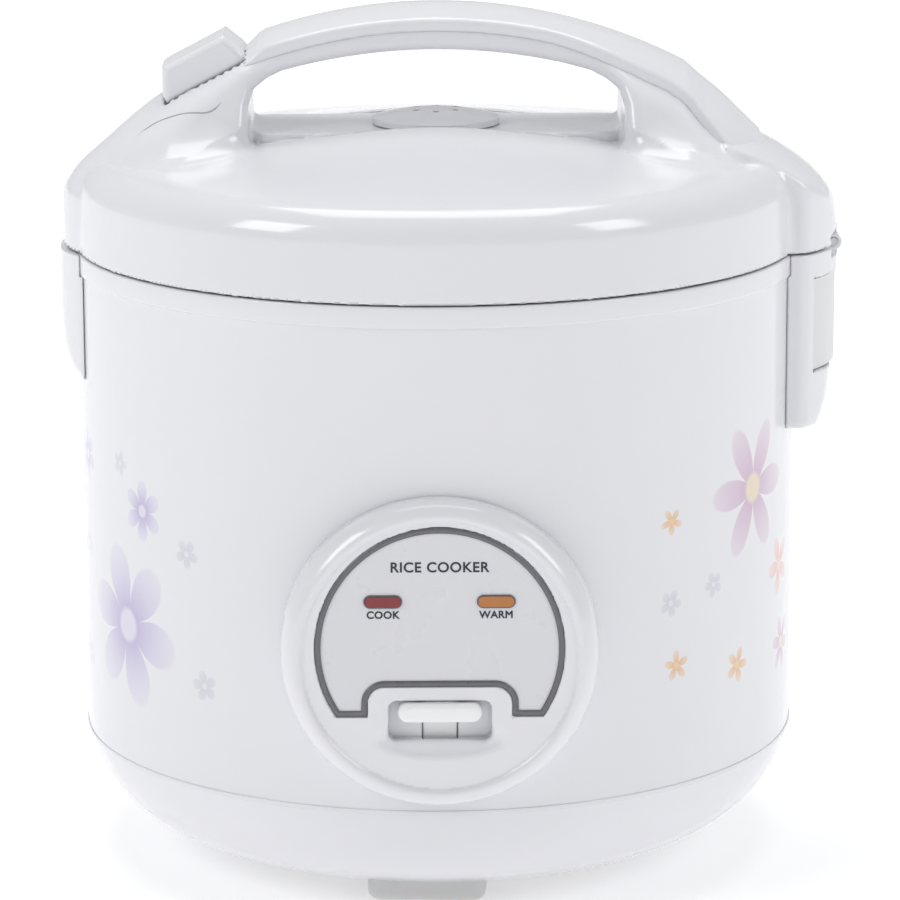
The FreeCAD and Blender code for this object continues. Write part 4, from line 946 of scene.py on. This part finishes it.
def lever_field(x, y, z):
    arm = round_max(polygon(y, z, LEVER_SIDE), np.abs(x) - 5, 0.5)
    ends = np.hypot(np.maximum(np.abs(x) - PADDLE[1] + PADDLE[2], 0), z - PADDLE[0]) - PADDLE[2]
    paddle = round_max(ends, slab(y, *PADDLE_DEPTH), 1.6)
    front, back, half, low, high = SHUTTER
    shutter = np.maximum(np.maximum(slab(y, front, back), np.abs(x) - half), slab(z, low, high))
    bore = LEVER_BORE - np.hypot(y - LEVER_PIVOT[0], z - LEVER_PIVOT[1])
    return np.maximum(round_min(np.minimum(arm, shutter), paddle, 0.8), bore)


lever = surface("lever_arm", lever_field, (-16, -139, 47), (16, -39, 86), 0.9)
lever.data.materials.append(bright)
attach(lever, "switch_lever")
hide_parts("switch_lever")


# ------------------------------------------------------------------ thermostat spring

SPRING_RADIUS = 11.4
SPRING_WIRE = 0.6
SPRING_PITCH = 3.4


def plate_spring():
    """The coil under the sensor's cap, which the pot presses down, built at the height of the sensor spring it
    replaces.
    """
    low, high = (corner.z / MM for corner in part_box("sensor_spring"))
    rise = high - low - 2 * SPRING_WIRE
    turn = np.linspace(0, 2 * math.pi * rise / SPRING_PITCH, 230)
    height = low + SPRING_WIRE + turn / (2 * math.pi) * SPRING_PITCH
    middle = np.stack([SPRING_RADIUS * np.cos(turn), SPRING_RADIUS * np.sin(turn), height], 1)
    coil = tube("thermostat_spring", middle, (0, 0, 1), np.full(len(turn), SPRING_WIRE))
    coil.data.materials.append(spring)
    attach(coil, "cooker_body")
    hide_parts("sensor_spring")
    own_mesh(coil)


plate_spring()


# ------------------------------------------------------------------ floor, light and camera

FLOOR_HALF = 8.0
FLOOR_LEVEL = -0.0004
# From which distance to which the floor's glow grows, and from which strength to which.
GLOW = {"From Min": 0.5, "From Max": 2.6, "To Min": 0.3, "To Max": 0.62}
WORLD_STRENGTH = (0.25, 0.64)
# Place, point aimed at, width, height and watts, in metres.
SOFTBOXES = {
    "left_box": ((-1.5, -0.95, 1.3), (0, 0, 0.15), 0.7, 0.9, 10.8),
    "right_box": ((1.55, -0.9, 1.2), (0, 0, 0.15), 0.6, 0.9, 8.3),
    "top_box": ((0, 0.3, 1.9), (0, 0, 0.2), 1.3, 1.0, 13),
}
CAMERA_PLACE = (-0.00935, -1.536, 0.4892)
CAMERA_HEADING = -0.35
CAMERA_DOWN = 12.84
CAMERA_ROLL = -0.22
CAMERA_LENS = 175
CAMERA_SENSOR = 36


def stage_floor():
    """A pale floor that glows more with distance, so that it runs into the white behind."""
    corners = [(-1, -1), (1, -1), (1, 1), (-1, 1)]
    mesh = bpy.data.meshes.new("floor")
    mesh.from_pydata([(FLOOR_HALF * x, FLOOR_HALF * y, FLOOR_LEVEL) for x, y in corners], [], [(0, 1, 2, 3)])
    floor = bpy.data.objects.new("floor", mesh)
    bpy.context.scene.collection.objects.link(floor)
    material = new_material("pale_floor", (0.92, 0.92, 0.925), 0.6)
    nodes = Nodes(material.node_tree)
    nodes.paint(nodes.mix(nodes.noise(3, 3), (0.915, 0.915, 0.92, 1), (0.93, 0.93, 0.935, 1)))
    nodes.shader.inputs["Emission Color"].default_value = (1, 1, 1, 1)
    far = nodes.add("ShaderNodeVectorMath", operation="LENGTH")
    nodes.join(nodes.place, far.inputs[0])
    glow = nodes.add("ShaderNodeMapRange")
    for name, value in GLOW.items():
        glow.inputs[name].default_value = value
    nodes.join(far.outputs["Value"], glow.inputs["Value"])
    nodes.join(glow.outputs["Result"], nodes.shader.inputs["Emission Strength"])
    mesh.materials.append(material)


def softbox(name, place, aim, wide, tall, power):
    """A rectangular area light that faces a point."""
    data = bpy.data.lights.new(name, "AREA")
    data.shape = "RECTANGLE"
    data.size = wide
    data.size_y = tall
    data.energy = power
    light = bpy.data.objects.new(name, data)
    light.location = place
    light.rotation_euler = (Vector(aim) - Vector(place)).to_track_quat("-Z", "Y").to_euler()
    bpy.context.scene.collection.objects.link(light)


def studio():
    """A soft world, dimmer in front than behind, with three area lights."""
    world = bpy.data.worlds.new("studio")
    bpy.context.scene.world = world
    world.use_nodes = True
    tree = world.node_tree
    background = tree.nodes["Background"]
    background.inputs["Color"].default_value = (0.97, 0.98, 1.0, 1)
    split = tree.nodes.new("ShaderNodeSeparateXYZ")
    tree.links.new(tree.nodes.new("ShaderNodeTexCoord").outputs["Generated"], split.inputs[0])
    depth = tree.nodes.new("ShaderNodeMapRange")
    depth.inputs["From Min"].default_value = -1
    depth.inputs["To Min"].default_value, depth.inputs["To Max"].default_value = WORLD_STRENGTH
    tree.links.new(split.outputs[1], depth.inputs["Value"])
    tree.links.new(depth.outputs["Result"], background.inputs["Strength"])
    for name, values in SOFTBOXES.items():
        softbox(name, *values)
    view = bpy.context.scene.view_settings
    view.view_transform = "Standard"
    view.look = "None"


def camera():
    data = bpy.data.cameras.new("camera")
    data.lens = CAMERA_LENS
    data.sensor_width = CAMERA_SENSOR
    data.clip_end = 30
    thing = bpy.data.objects.new("camera", data)
    heading = Matrix.Rotation(math.radians(CAMERA_HEADING), 4, "Z")
    pitch = Matrix.Rotation(math.radians(90 - CAMERA_DOWN), 4, "X")
    roll = Matrix.Rotation(math.radians(CAMERA_ROLL), 4, "Z")
    thing.matrix_world = Matrix.Translation(CAMERA_PLACE) @ heading @ pitch @ roll
    bpy.context.scene.collection.objects.link(thing)
    bpy.context.scene.camera = thing


stage_floor()
studio()
camera()
